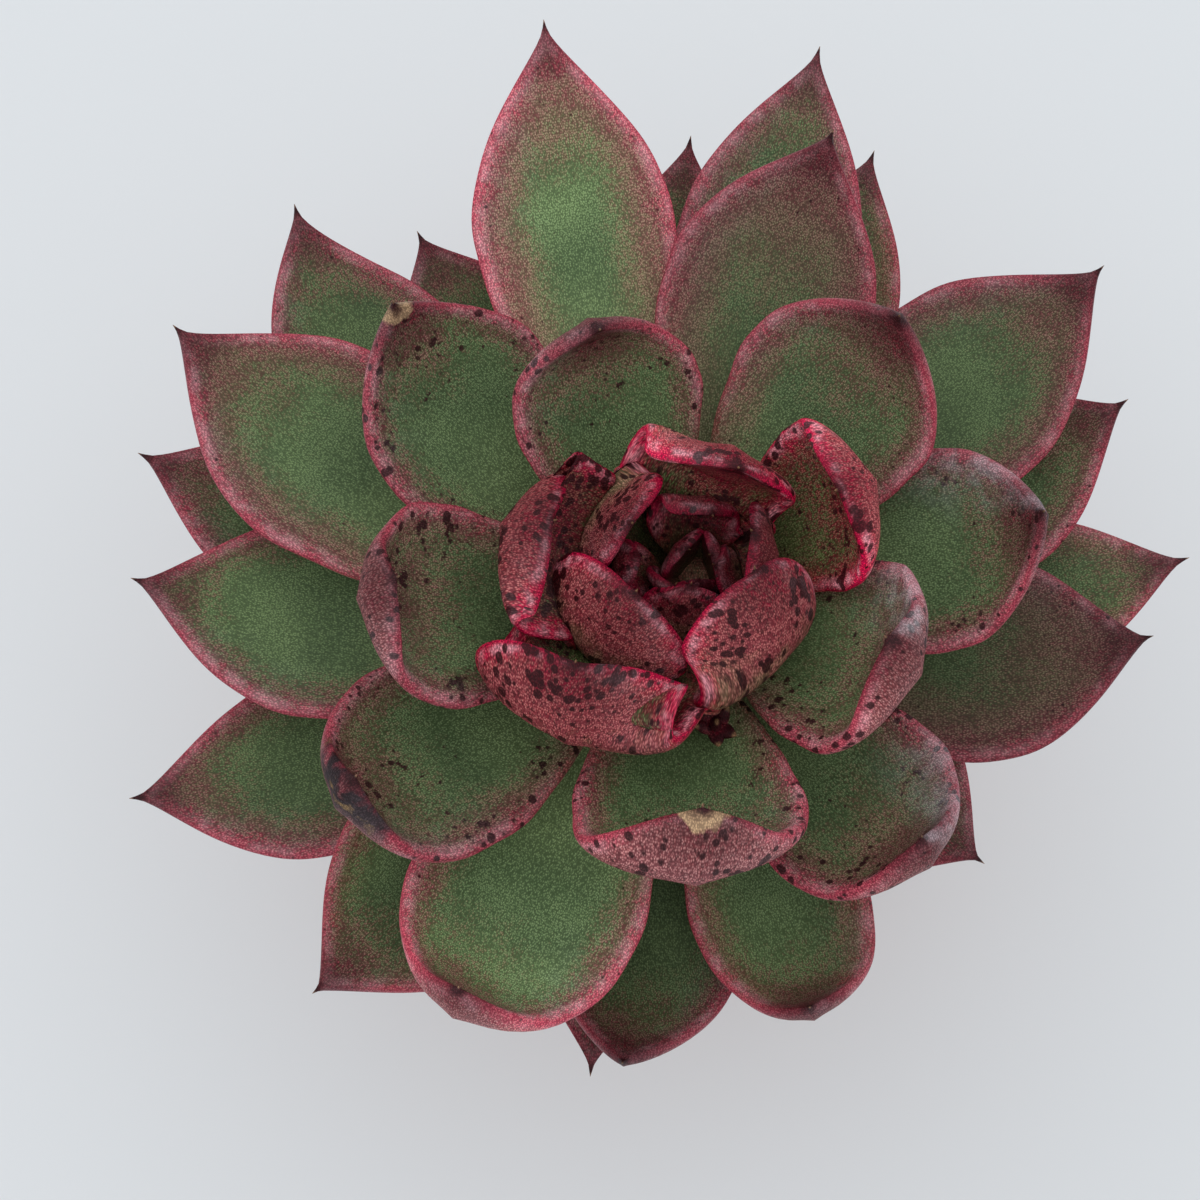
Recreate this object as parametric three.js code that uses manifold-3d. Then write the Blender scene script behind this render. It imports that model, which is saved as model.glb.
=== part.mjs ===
// A potted echeveria: a rosette of thick, red-edged leaves on a short leaning stem,
// in gritty soil in a plain terracotta pot.
// Millimetres, +Z up. The origin is the middle of the pot's foot, where it rests.

import * as THREE from 'three';
import * as BufferGeometryUtils from 'three/addons/utils/BufferGeometryUtils.js';
import Module from 'manifold-3d';

// Pot: a turned clay pot with a thick rim and a drain hole
const POT_HEIGHT = 62;
const POT_RIM_RADIUS = 34;
const POT_RIM_DEPTH = 15;
const POT_RIM_STEP = 2.2;
const POT_FOOT_RADIUS = 22;
const POT_WALL = 3.2;
const POT_FLOOR = 5;
const DRAIN_HOLE_RADIUS = 4.5;
const POT_SIDES = 32;

// Soil: fills the pot to just under the rim
const SOIL_BELOW_RIM = 2.5;
const SOIL_DOME = 0.8;
const SOIL_SIDES = 24;
const CLEARANCE = 0.3;

// Plant: where the stem leaves the soil, and how it leans over by the crown
const PLANT_X = -0.8;
const PLANT_Y = -6.3;
const CROWN_HEIGHT = 31;
const CROWN_LEAN_X = 3;
const CROWN_LEAN_Y = -1.5;
const LEAN_POWER = 1.3;
const STEM_DEPTH = 22;
const STEM_NECK_RADIUS = 4.8;
const STEM_TOP = 24;
const STEM_SIDES = 14;
const ROOT_SEAT = 0.9;

// Spiral: one leaf every golden angle, clockwise as seen from above
const GOLDEN_ANGLE = 137.5;
const FIRST_AZIMUTH = 62.8;
const FIRST_RANK_APART = 4;
const OLDEST_RANK = 47;
const LOWEST_ROOT = 7;
const HIGHEST_ROOT = 30;
const ROOT_SPACING = 0.9;
const YOUNGEST_ROOT_RADIUS = 1.2;
const OLDEST_ROOT_RADIUS = 6.5;
const ROOT_TAPER = 0.6;

// Leaf outline: shares of the leaf's own width and length, and powers of its curves
const ROOT_WIDTH = 0.36;
const WIDEST_AT = 0.62;
const SWELLING = 1.9;
const SHOULDER = 2.2;
const TIP_POINT = 1.33;
const TIP_WIDTH = 0.24;
const NECK_WIDTH = 0.7;

// Leaf thickness: the share of the width, how much lies inside the middle line,
// how it starts at the root and thins to the tip, and how the blade is cupped
const THICKNESS = 0.21;
const INNER_SHARE = 0.26;
const ROOT_PLUMPNESS = 0.55;
const PLUMPEST_AT = 0.5;
const THINNING_START = 3;
const THINNING_END = 0.55;
const CUP = 0.16;
const EDGE_ROUNDNESS = 0.72;
const FACE_ROUNDNESS = 0.8;

// Leaf curve: how far it holds its slope at the root and at the tip
const ROOT_HANDLE = 0.42;
const TIP_HANDLE = 0.38;

// Mesh: rings along a leaf, closer near the tip, and points round each ring
const RING_CROWDING = 0.9;
const LAST_RING = 0.985;
const LEAF_RINGS = 12;
const LEAF_SIDES = 10;
const HEART_RINGS = 8;
const HEART_SIDES = 8;
const LEAF_SMOOTHING = 0.06;
const STEM_SMOOTHING = 0.12;

// Colours
const TERRACOTTA = 0xb5694a;
const SOIL_BROWN = 0x3b2d22;
const STEM_BROWN = 0x7d6a4c;
const LEAF_GREEN = 0x5f8055;
const LEAF_ROSE = 0x9c5a5c;
const HEART_CRIMSON = 0x74202c;

// Every leaf of the rosette, numbered from the growing tip outward.
// turn: degrees off the golden spiral. reach: from the stem's middle to the tip.
// tip: height of the tip over the soil. rise, curl: slope of the leaf at its root
// and at its tip, where more than 90 degrees curls inward.
// bow, tipSide: how far the blade and its tip swing sideways. roll: its twist.
// cup: how hollow it is across.
// blunt, broad: fuller outline near the tip.
const LEAVES = [
  { rank: 1, turn: -13, reach: 1.5, tip: 37.5, width: 5, rise: 80, curl: 110, blunt: 0.8 },
  { rank: 2, turn: -8, reach: 1, tip: 38.5, width: 6, rise: 78, curl: 125, blunt: 0.8 },
  { rank: 3, turn: 5, reach: 0.8, tip: 38.6, width: 6.2, rise: 78, curl: 120, blunt: 0.8 },
  { rank: 4, turn: -3, reach: 3.2, tip: 38.8, width: 7, rise: 76, curl: 128, blunt: 0.8 },
  { rank: 5, turn: -9, reach: 3.9, tip: 38.5, width: 9.4, rise: 72, curl: 124, bow: 1,
    tipSide: -1.2, roll: -2, rootHandle: 0.82, tipHandle: 0.62 },
  { rank: 6, turn: 51, reach: 1.2, tip: 38.8, width: 5.8, rise: 69, curl: 108, bow: -0.8,
    tipSide: -1, roll: 3, rootHandle: 0.75, tipHandle: 0.72, blunt: 0.8 },
  { rank: 7, turn: 10, reach: 4.8, tip: 39.8, width: 5.7, rise: 75, curl: 127, bow: -0.7,
    tipSide: -0.4, roll: -8, rootHandle: 0.82, tipHandle: 0.69, blunt: 0.8 },
  { rank: 8, turn: -51, reach: 4.6, tip: 39.8, width: 12, rise: 78, curl: 112, bow: -1.6,
    tipSide: 2.9, roll: 9, rootHandle: 0.86, tipHandle: 0.69, blunt: 0.7, broad: 0.7 },
  { rank: 9, turn: -5, reach: 2.8, tip: 39.4, width: 8.7, rise: 51, curl: 111, bow: 0.1,
    tipSide: 0.1, roll: -1, rootHandle: 0.79, tipHandle: 0.77, blunt: 0.75, broad: 0.7 },
  { rank: 10, turn: 17, reach: 5.8, tip: 42.5, width: 11.5, rise: 53, curl: 104, bow: -1.3,
    tipSide: 1.8, roll: 3, rootHandle: 0.99, tipHandle: 0.84, blunt: 0.7, broad: 0.7 },
  { rank: 12, cup: 0.3, turn: 14, reach: 6.6, tip: 41.7, width: 15.8, rise: 52, curl: 122, bow: -0.7,
    tipSide: -0.9, roll: 3, rootHandle: 0.8, tipHandle: 0.77, blunt: 0.7, broad: 0.7 },
  { rank: 13, turn: 6, reach: 7.7, tip: 42.2, width: 16.4, rise: 77, curl: 107, bow: 2.2,
    tipSide: -3.1, roll: -7, rootHandle: 0.85, tipHandle: 0.66, blunt: 0.65, broad: 0.7 },
  { rank: 14, cup: 0.3, turn: 8, reach: 5.1, tip: 43.2, width: 15.7, rise: 62, curl: 131, bow: -3,
    tipSide: 3, roll: 12, rootHandle: 0.87, tipHandle: 0.74, blunt: 0.6, broad: 0.7 },
  { rank: 15, cup: 0.42, turn: 9, reach: 12.5, tip: 41.6, width: 17.8, rise: 73, curl: 137, bow: 1.4,
    tipSide: 0.1, roll: -8, rootHandle: 0.85, tipHandle: 0.6, blunt: 0.65, broad: 0.7 },
  { rank: 16, cup: 0.3, turn: -2, reach: 14, tip: 42, width: 17, rise: 48, curl: 140, bow: 1, tipHandle: 0.5,
    blunt: 0.7, broad: 0.68 },
  { rank: 17, cup: 0.45, turn: -5, reach: 15, tip: 43.3, width: 21, rise: 60, curl: 118, bow: 1.4,
    tipSide: -3.5, roll: 16, rootHandle: 0.83, tipHandle: 0.69, blunt: 0.6, broad: 0.7 },
  { rank: 18, turn: 4, reach: 22, tip: 42, width: 19, rise: 40, curl: 115, bow: 1, blunt: 0.9 },
  { rank: 19, cup: 0.24, turn: 4, reach: 19.5, tip: 41, width: 20, rise: 40, curl: 145, bow: -1.5,
    tipHandle: 0.42, blunt: 0.75, broad: 0.66 },
  { rank: 20, cup: 0.24, turn: -6, reach: 26.5, tip: 41, width: 20, rise: 34, curl: 145, bow: 1.5,
    blunt: 0.75, broad: 0.66 },
  { rank: 21, turn: -7, reach: 30.5, tip: 40, width: 21.5, rise: 30, curl: 90, bow: 0.5,
    blunt: 1 },
  { rank: 22, cup: 0.22, turn: -5, reach: 24, tip: 41, width: 22, rise: 32, curl: 150, bow: -1,
    tipHandle: 0.52, blunt: 0.7, broad: 0.66 },
  { rank: 23, turn: -2, reach: 37, tip: 38, width: 21, rise: 24, curl: 75, bow: 2, blunt: 1.05 },
  { rank: 24, turn: 5, reach: 34.5, tip: 36, width: 20.5, rise: 22, curl: 85, blunt: 1 },
  { rank: 25, turn: -10, reach: 36.5, tip: 38, width: 20.5, rise: 20, curl: 120, bow: 1,
    blunt: 0.9 },
  { rank: 26, turn: -17, reach: 47.5, tip: 33, width: 21.5, rise: 16, curl: 55, bow: 1.5 },
  { rank: 27, turn: 0, reach: 34, tip: 34, width: 20.5, rise: 15, curl: 115, bow: -1, blunt: 0.9 },
  { rank: 28, turn: -20, reach: 56, tip: 28, width: 22.5, rise: 12, curl: 40, bow: 3.5 },
  { rank: 29, turn: 2, reach: 55, tip: 26, width: 22, rise: 9, curl: 45, bow: -0.5 },
  { rank: 30, turn: -15, reach: 44.5, tip: 31, width: 23, rise: 10, curl: 110, bow: 1.5,
    blunt: 0.9 },
  { rank: 31, turn: -18, reach: 61.5, tip: 26, width: 21, rise: 9, curl: 35, bow: 1.5 },
  { rank: 32, turn: 12, reach: 48, tip: 22, width: 21.5, rise: 8, curl: 35, bow: -3.5 },
  { rank: 33, turn: -27, reach: 54, tip: 20, width: 20.5, rise: 5, curl: 28, bow: 3.5 },
  { rank: 34, turn: 7, reach: 62.5, tip: 20, width: 19.5, rise: 3, curl: 27 },
  { rank: 35, turn: -3, reach: 43, tip: 24, width: 18, rise: 5, curl: 95, bow: 2, blunt: 0.9 },
  { rank: 36, turn: -20, reach: 57, tip: 20, width: 19.5, rise: 5, curl: 30, bow: 2,
    tipTurn: -24 },
  { rank: 37, turn: 9, reach: 52.5, tip: 18, width: 20.5, rise: 4, curl: 35, bow: -1.5 },
  { rank: 38, turn: -9, reach: 52.5, tip: 19, width: 22, rise: 4, curl: 35, bow: 1.5, root: 12 },
  { rank: 39, turn: -14, reach: 54, tip: 11, width: 16, rise: 0, curl: 18, bow: 1.5, root: 9 },
  { rank: 40, turn: -1, reach: 41.5, tip: 10, width: 19, rise: 0, curl: 10 },
  { rank: 41, turn: -22, reach: 57, tip: 14, width: 19, rise: 2, curl: 20, bow: 2 },
  { rank: 42, turn: 18, reach: 59, tip: 7.5, width: 18, rise: -3, curl: 10, bow: -1.5, root: 7 },
  { rank: 43, turn: -6, reach: 46.5, tip: 20, width: 19.5, rise: 5, curl: 70, bow: 2, root: 10,
    blunt: 1.1 },
  { rank: 44, turn: -11, reach: 49.5, tip: 12, width: 19, rise: 0, curl: 20, bow: 1 },
  { rank: 45, turn: 11, reach: 55.5, tip: 12, width: 18, rise: 0, curl: 20, bow: -2.5 },
  { rank: 46, turn: -18, reach: 57.5, tip: 11, width: 19.5, rise: -3, curl: 18, bow: 3.5 },
  { rank: 51, turn: 11, reach: 47.5, tip: 6.5, width: 14, rise: -1, curl: 0, bow: -1, root: 7,
    thick: 0.19 },
];
const LAST_HEART_RANK = 12;

// Offset: a tiny side shoot that looks out over the inside of leaf 22
const OFFSET_X = 4.8;
const OFFSET_Y = -15.5;
const OFFSET_HEIGHT = 28.5;
const OFFSET_ROOT_HEIGHT = 22.5;
const OFFSET_STALK_RADIUS = 0.9;
const OFFSET_STALK_SIDES = 6;
const OFFSET_STALK_STEPS = 4;
const OFFSET_LEAVES = 7;
const OFFSET_LEAF_LENGTH = 3.2;
const OFFSET_LEAF_RADIUS = 0.8;

const wasm = await Module();
wasm.setup();

const degrees = THREE.MathUtils.degToRad;

// Helpers between three.js geometry and solids
function toSolid(geometry) {
  const bare = geometry.clone();
  bare.deleteAttribute('normal');
  bare.deleteAttribute('uv');
  const merged = BufferGeometryUtils.mergeVertices(bare, 1e-4);
  return new wasm.Manifold(new wasm.Mesh({
    numProp: 3,
    vertProperties: new Float32Array(merged.attributes.position.array),
    triVerts: new Uint32Array(merged.index.array),
  }));
}

function toGeometry(solid) {
  const mesh = solid.getMesh();
  const geometry = new THREE.BufferGeometry();
  geometry.setAttribute('position', new THREE.BufferAttribute(mesh.vertProperties, 3));
  geometry.setIndex(new THREE.BufferAttribute(mesh.triVerts, 1));
  geometry.computeVertexNormals();
  return geometry;
}

// The one body that is left of a piece once small loose scraps are dropped
function largestBody(solid, smoothing = LEAF_SMOOTHING) {
  const bodies = solid.simplify(smoothing).decompose();
  bodies.sort((a, b) => b.volume() - a.volume());
  return bodies[0];
}

// Closed skin over a row of rings, with one end point at each end
function skinOverRings(rings, firstPoint, lastPoint) {
  const sides = rings[0].length;
  const points = [...rings.flat(), firstPoint, lastPoint];
  const first = points.length - 2;
  const last = points.length - 1;
  const index = [];
  for (let i = 0; i < rings.length - 1; i++) {
    for (let j = 0; j < sides; j++) {
      const here = i * sides + j;
      const next = i * sides + (j + 1) % sides;
      index.push(here, next, next + sides, here, next + sides, here + sides);
    }
  }
  const tipRing = (rings.length - 1) * sides;
  for (let j = 0; j < sides; j++) {
    index.push(first, (j + 1) % sides, j);
    index.push(last, tipRing + j, tipRing + (j + 1) % sides);
  }
  const geometry = new THREE.BufferGeometry();
  geometry.setFromPoints(points);
  geometry.setIndex(index);
  return geometry;
}

// Stem axis at a height over the soil
function axisPoint(height) {
  const lean = Math.pow(Math.max(0, height) / CROWN_HEIGHT, LEAN_POWER);
  return new THREE.Vector3(CROWN_LEAN_X * lean, CROWN_LEAN_Y * lean, height);
}

// How old a leaf is, from 0 at the growing tip to 1 for the oldest
function age(rank) {
  return Math.max(0, rank - FIRST_RANK_APART) / (OLDEST_RANK - FIRST_RANK_APART);
}

function rootHeight(rank) {
  return THREE.MathUtils.lerp(HIGHEST_ROOT, LOWEST_ROOT, Math.pow(age(rank), ROOT_SPACING));
}

function rootRadius(share) {
  return THREE.MathUtils.lerp(YOUNGEST_ROOT_RADIUS, OLDEST_ROOT_RADIUS, Math.pow(share, ROOT_TAPER));
}

// Middle line of a leaf, and the direction across it at the root
function leafSpine(leaf) {
  const azimuth = degrees(FIRST_AZIMUTH - GOLDEN_ANGLE * leaf.rank + leaf.turn);
  const axis = axisPoint(leaf.root ?? rootHeight(leaf.rank));
  const outward = new THREE.Vector3(Math.cos(azimuth), Math.sin(azimuth), 0);
  const across = new THREE.Vector3(-Math.sin(azimuth), Math.cos(azimuth), 0);
  const root = axis.clone().addScaledVector(outward, rootRadius(age(leaf.rank)));
  const tip = axis.clone().addScaledVector(outward, leaf.reach)
    .addScaledVector(across, leaf.tipSide ?? 0).setZ(leaf.tip);
  const chord = root.distanceTo(tip);
  const tipAzimuth = azimuth + degrees(leaf.tipTurn ?? 0);
  const tipOutward = new THREE.Vector3(Math.cos(tipAzimuth), Math.sin(tipAzimuth), 0);
  const up = new THREE.Vector3(0, 0, 1);
  const rise = degrees(leaf.rise);
  const curl = degrees(leaf.curl);
  const leaving = outward.clone().multiplyScalar(Math.cos(rise)).addScaledVector(up, Math.sin(rise));
  const arriving = tipOutward.multiplyScalar(Math.cos(curl)).addScaledVector(up, Math.sin(curl));
  const rootHandle = root.clone().addScaledVector(leaving, chord * (leaf.rootHandle ?? ROOT_HANDLE))
    .addScaledVector(across, leaf.bow ?? 0);
  const tipHandle = tip.clone().addScaledVector(arriving, -chord * (leaf.tipHandle ?? TIP_HANDLE))
    .addScaledVector(across, leaf.bow ?? 0);
  return { curve: new THREE.CubicBezierCurve3(root, rootHandle, tipHandle, tip), across };
}

// Share of the full width at a place s along the leaf, from root (0) to tip (1)
function outline(s, leaf) {
  const widest = leaf.broad ?? WIDEST_AT;
  if (s < widest) {
    return ROOT_WIDTH + (1 - ROOT_WIDTH) * Math.pow(Math.sin(s / widest * Math.PI / 2), SWELLING);
  }
  const toTip = (s - widest) / (1 - widest);
  return Math.pow(1 - Math.pow(toTip, SHOULDER), leaf.blunt ?? TIP_POINT);
}

// Share of the full thickness at a place s along the leaf
function plumpness(s) {
  const filling = Math.sin(Math.min(1, s / PLUMPEST_AT) * Math.PI / 2);
  const swelling = ROOT_PLUMPNESS + (1 - ROOT_PLUMPNESS) * filling;
  return swelling * Math.pow(1 - Math.pow(s, THINNING_START), THINNING_END);
}

// Solid leaf: flat to cupped inside, keeled outside, with rounded edges.
// extra is added all round, so that a neighbour can be cut back from it.
function leafSolid(leaf, rings, sides, extra = 0) {
  const { curve, across } = leafSpine(leaf);
  const thick = leaf.width * (leaf.thick ?? THICKNESS);
  const sections = [];
  for (let i = 0; i < rings; i++) {
    const s = Math.min(LAST_RING, Math.pow(i / (rings - 1), RING_CROWDING));
    const middle = curve.getPointAt(s);
    const along = curve.getTangentAt(s);
    const level = across.clone().addScaledVector(along, -across.dot(along)).normalize();
    const roll = degrees((leaf.roll ?? 0) * (1 - (1 - s) ** 2));
    const side = level.clone().applyAxisAngle(along, roll);
    const inner = new THREE.Vector3().crossVectors(along, side);
    const least = (NECK_WIDTH * (1 - s) + TIP_WIDTH) / 2;
    const half = Math.max(leaf.width / 2 * outline(s, leaf), least) + extra;
    const innerDepth = INNER_SHARE * thick * plumpness(s) + extra;
    const outerDepth = (1 - INNER_SHARE) * thick * plumpness(s) + extra;
    const section = [];
    for (let j = 0; j < sides; j++) {
      const round = 2 * Math.PI * j / sides;
      const x = Math.sign(Math.cos(round)) * Math.pow(Math.abs(Math.cos(round)), EDGE_ROUNDNESS);
      const y = Math.sign(Math.sin(round)) * Math.pow(Math.abs(Math.sin(round)), FACE_ROUNDNESS);
      const lift = y * (y > 0 ? innerDepth : outerDepth) + (leaf.cup ?? CUP) * (0.4 + 0.6 * s) * half * x * x;
      section.push(middle.clone().addScaledVector(side, half * x).addScaledVector(inner, lift));
    }
    sections.push(section);
  }
  const rootPoint = curve.getPointAt(0).addScaledVector(curve.getTangentAt(0), -extra);
  const tipPoint = curve.getPointAt(1).addScaledVector(curve.getTangentAt(1), extra);
  return toSolid(skinOverRings(sections, rootPoint, tipPoint));
}

// Stem between two heights: a leaning cone that the leaf roots are set into
function stemRadius(height) {
  if (height < LOWEST_ROOT) {
    const share = THREE.MathUtils.clamp(height / LOWEST_ROOT, 0, 1);
    return THREE.MathUtils.lerp(STEM_NECK_RADIUS - ROOT_SEAT, OLDEST_ROOT_RADIUS, share);
  }
  const below = (HIGHEST_ROOT - height) / (HIGHEST_ROOT - LOWEST_ROOT);
  return rootRadius(Math.pow(THREE.MathUtils.clamp(below, 0, 1), 1 / ROOT_SPACING));
}

function leaningCone(fromHeight, toHeight, steps, extra = 0, topPoint) {
  const rings = [];
  for (let i = 0; i <= steps; i++) {
    const height = THREE.MathUtils.lerp(fromHeight, toHeight, i / steps);
    const middle = axisPoint(height);
    const radius = stemRadius(height) + ROOT_SEAT + extra;
    const ring = [];
    for (let j = 0; j < STEM_SIDES; j++) {
      const round = 2 * Math.PI * j / STEM_SIDES;
      ring.push(new THREE.Vector3(Math.cos(round) * radius, Math.sin(round) * radius, 0).add(middle));
    }
    rings.push(ring);
  }
  return toSolid(skinOverRings(rings, axisPoint(fromHeight), topPoint ?? axisPoint(toHeight)));
}

// Pot, turned in one piece, with its drain hole
function potGeometry() {
  const rimUnder = POT_HEIGHT - POT_RIM_DEPTH;
  const bodyTop = POT_RIM_RADIUS - POT_RIM_STEP - 0.5;
  const innerTop = POT_RIM_RADIUS - POT_WALL - 0.4;
  const innerFoot = POT_FOOT_RADIUS - POT_WALL;
  const profile = [
    [DRAIN_HOLE_RADIUS, 0],
    [POT_FOOT_RADIUS - 0.8, 0],
    [POT_FOOT_RADIUS, 0.8],
    [bodyTop, rimUnder],
    [POT_RIM_RADIUS - 1.6, rimUnder],
    [POT_RIM_RADIUS - 1, rimUnder + 0.6],
    [POT_RIM_RADIUS, POT_HEIGHT - 1.2],
    [POT_RIM_RADIUS - 0.7, POT_HEIGHT - 0.3],
    [POT_RIM_RADIUS - 1.5, POT_HEIGHT],
    [innerTop + 0.8, POT_HEIGHT],
    [innerTop, POT_HEIGHT - 0.8],
    [innerFoot, POT_FLOOR + 2],
    [innerFoot - 2, POT_FLOOR],
    [DRAIN_HOLE_RADIUS, POT_FLOOR],
    [DRAIN_HOLE_RADIUS, 0],
  ];
  return new THREE.LatheGeometry(profile.map(([r, z]) => new THREE.Vector2(r, z)), POT_SIDES)
    .rotateX(Math.PI / 2);
}

// Soil, lower at the wall than in the middle, with a plain hole for the stem
function soilSolid() {
  const top = POT_HEIGHT - SOIL_BELOW_RIM;
  const innerFoot = POT_FOOT_RADIUS - POT_WALL;
  const innerTop = POT_RIM_RADIUS - POT_WALL - 0.4;
  const wallSlope = (innerTop - innerFoot) / (POT_HEIGHT - 0.8 - POT_FLOOR - 2);
  const radiusAt = (z) => innerFoot + wallSlope * (z - POT_FLOOR - 2) - CLEARANCE - 0.1;
  const profile = [
    [0, POT_FLOOR + CLEARANCE],
    [innerFoot - 2 - CLEARANCE, POT_FLOOR + CLEARANCE],
    [innerFoot - CLEARANCE - 0.1, POT_FLOOR + 2 + CLEARANCE],
    [radiusAt(top - SOIL_DOME), top - SOIL_DOME],
    [radiusAt(top) * 0.7, top - SOIL_DOME * 0.4],
    [0, top],
  ];
  const body = new THREE.LatheGeometry(profile.map(([r, z]) => new THREE.Vector2(r, z)), SOIL_SIDES)
    .rotateX(Math.PI / 2);
  const holeRadius = STEM_NECK_RADIUS + CLEARANCE;
  const holeDepth = STEM_DEPTH + CLEARANCE;
  const hole = new THREE.CylinderGeometry(holeRadius, holeRadius, 2 * holeDepth, STEM_SIDES)
    .rotateX(Math.PI / 2);
  hole.translate(PLANT_X, PLANT_Y, top);
  return toSolid(body).subtract(toSolid(hole));
}

// Stem: a buried round foot under the leaning cone
function stemSolid() {
  const overlap = 0.5;
  const foot = new THREE.CylinderGeometry(STEM_NECK_RADIUS, STEM_NECK_RADIUS * 0.7,
    STEM_DEPTH + overlap, STEM_SIDES).rotateX(Math.PI / 2);
  foot.translate(0, 0, (overlap - STEM_DEPTH) / 2);
  return toSolid(foot).add(leaningCone(0, STEM_TOP, 8));
}

// Offset: a thin curved stalk with a tuft of tiny leaves at its end
function offsetSolid() {
  const end = new THREE.Vector3(OFFSET_X, OFFSET_Y, OFFSET_HEIGHT);
  const start = axisPoint(OFFSET_ROOT_HEIGHT);
  const outward = end.clone().sub(start).setZ(0).normalize();
  start.addScaledVector(outward, stemRadius(OFFSET_ROOT_HEIGHT) + ROOT_SEAT + CLEARANCE);
  const bend = start.clone().lerp(end, 0.5).add(new THREE.Vector3(0, 0, 1));
  const stalkLine = new THREE.QuadraticBezierCurve3(start, bend, end);
  const rings = [];
  for (let i = 0; i <= OFFSET_STALK_STEPS; i++) {
    const middle = stalkLine.getPointAt(i / OFFSET_STALK_STEPS);
    const along = stalkLine.getTangentAt(i / OFFSET_STALK_STEPS);
    const side = new THREE.Vector3(-outward.y, outward.x, 0);
    const inner = new THREE.Vector3().crossVectors(along, side).normalize();
    const ring = [];
    for (let j = 0; j < OFFSET_STALK_SIDES; j++) {
      const round = 2 * Math.PI * j / OFFSET_STALK_SIDES;
      ring.push(middle.clone().addScaledVector(side, Math.cos(round) * OFFSET_STALK_RADIUS)
        .addScaledVector(inner, Math.sin(round) * OFFSET_STALK_RADIUS));
    }
    rings.push(ring);
  }
  let shoot = toSolid(skinOverRings(rings, start, end));
  for (let i = 0; i < OFFSET_LEAVES; i++) {
    const leaf = new THREE.SphereGeometry(OFFSET_LEAF_RADIUS, 6, 5);
    leaf.scale(0.7, 1, OFFSET_LEAF_LENGTH / 2 / OFFSET_LEAF_RADIUS);
    leaf.translate(0, 0, OFFSET_LEAF_LENGTH * 0.4);
    leaf.rotateY(degrees(i === 0 ? 0 : 42 + 5 * (i % 3)));
    leaf.rotateZ(degrees(GOLDEN_ANGLE * i));
    leaf.translate(end.x, end.y, end.z);
    shoot = shoot.add(toSolid(leaf));
  }
  return shoot;
}

// Heart: the growing tip with its unopened leaves, grown together at their roots
function heartSolid(extra = 0) {
  const tipPoint = axisPoint(CROWN_HEIGHT + 1);
  let heart = leaningCone(STEM_TOP + CLEARANCE, CROWN_HEIGHT, 4, extra, tipPoint);
  for (const leaf of LEAVES.filter(({ rank }) => rank <= LAST_HEART_RANK)) {
    heart = heart.add(leafSolid(leaf, HEART_RINGS, HEART_SIDES, extra));
  }
  return heart;
}

function material(color, roughness) {
  return new THREE.MeshStandardMaterial({ color, roughness, metalness: 0 });
}

function named(name, geometry, surface) {
  const mesh = new THREE.Mesh(geometry, surface);
  mesh.name = name;
  return mesh;
}

const potted = new THREE.Group();
potted.add(named('pot', potGeometry(), material(TERRACOTTA, 0.85)));
potted.add(named('soil', toGeometry(soilSolid()), material(SOIL_BROWN, 0.95)));

const plant = new THREE.Group();
plant.position.set(PLANT_X, PLANT_Y, POT_HEIGHT - SOIL_BELOW_RIM);
potted.add(plant);

// Where neighbours press together, the older leaf gives way to the younger one
const openLeaves = LEAVES.filter(({ rank }) => rank > LAST_HEART_RANK);
const swollen = openLeaves.map((leaf) => leafSolid(leaf, LEAF_RINGS, LEAF_SIDES, CLEARANCE));
const swollenHeart = heartSolid(CLEARANCE);
let shoot = offsetSolid();
let stem = stemSolid();

openLeaves.forEach((leaf, i) => {
  let blade = leafSolid(leaf, LEAF_RINGS, LEAF_SIDES).subtract(swollenHeart);
  for (let younger = 0; younger < i; younger++) {
    blade = blade.subtract(swollen[younger]);
  }
  stem = stem.subtract(swollen[i]);
  shoot = shoot.subtract(swollen[i]);
  const colour = leaf.curl > 130 ? LEAF_ROSE : LEAF_GREEN;
  const name = `leaf_${leaf.rank}`;
  plant.add(named(name, toGeometry(largestBody(blade)), material(colour, 0.6)));
});

stem = largestBody(stem, STEM_SMOOTHING);
shoot = largestBody(shoot, STEM_SMOOTHING);
const heart = largestBody(heartSolid());
plant.add(named('stem', toGeometry(stem), material(STEM_BROWN, 0.9)));
plant.add(named('heart', toGeometry(heart), material(HEART_CRIMSON, 0.6)));
plant.add(named('offset', toGeometry(shoot), material(HEART_CRIMSON, 0.6)));

export default potted;
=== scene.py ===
# A potted echeveria: thick red-edged leaves on a short stem, in a plain clay pot.
# Shapes are worked out in millimetres and turned to metres as each mesh is made.

import math
import random
from functools import partial
from types import SimpleNamespace

import bmesh
import bpy
import numpy as np
from mathutils import Matrix, Vector


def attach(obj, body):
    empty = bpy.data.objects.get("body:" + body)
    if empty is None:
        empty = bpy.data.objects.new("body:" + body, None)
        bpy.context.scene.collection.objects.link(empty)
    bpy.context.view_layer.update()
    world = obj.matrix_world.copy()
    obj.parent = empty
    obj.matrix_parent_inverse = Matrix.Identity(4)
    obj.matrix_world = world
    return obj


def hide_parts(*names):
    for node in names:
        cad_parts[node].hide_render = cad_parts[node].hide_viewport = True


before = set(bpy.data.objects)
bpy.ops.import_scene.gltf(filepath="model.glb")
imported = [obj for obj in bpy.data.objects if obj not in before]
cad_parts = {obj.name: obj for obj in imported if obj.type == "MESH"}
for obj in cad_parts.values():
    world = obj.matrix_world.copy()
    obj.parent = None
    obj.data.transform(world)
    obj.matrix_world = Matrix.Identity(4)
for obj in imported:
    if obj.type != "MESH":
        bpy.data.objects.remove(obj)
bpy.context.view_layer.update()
print("frame loaded:", len(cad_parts), "nodes")

mm = 0.001
rng = random.Random(46)


# small helpers

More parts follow.
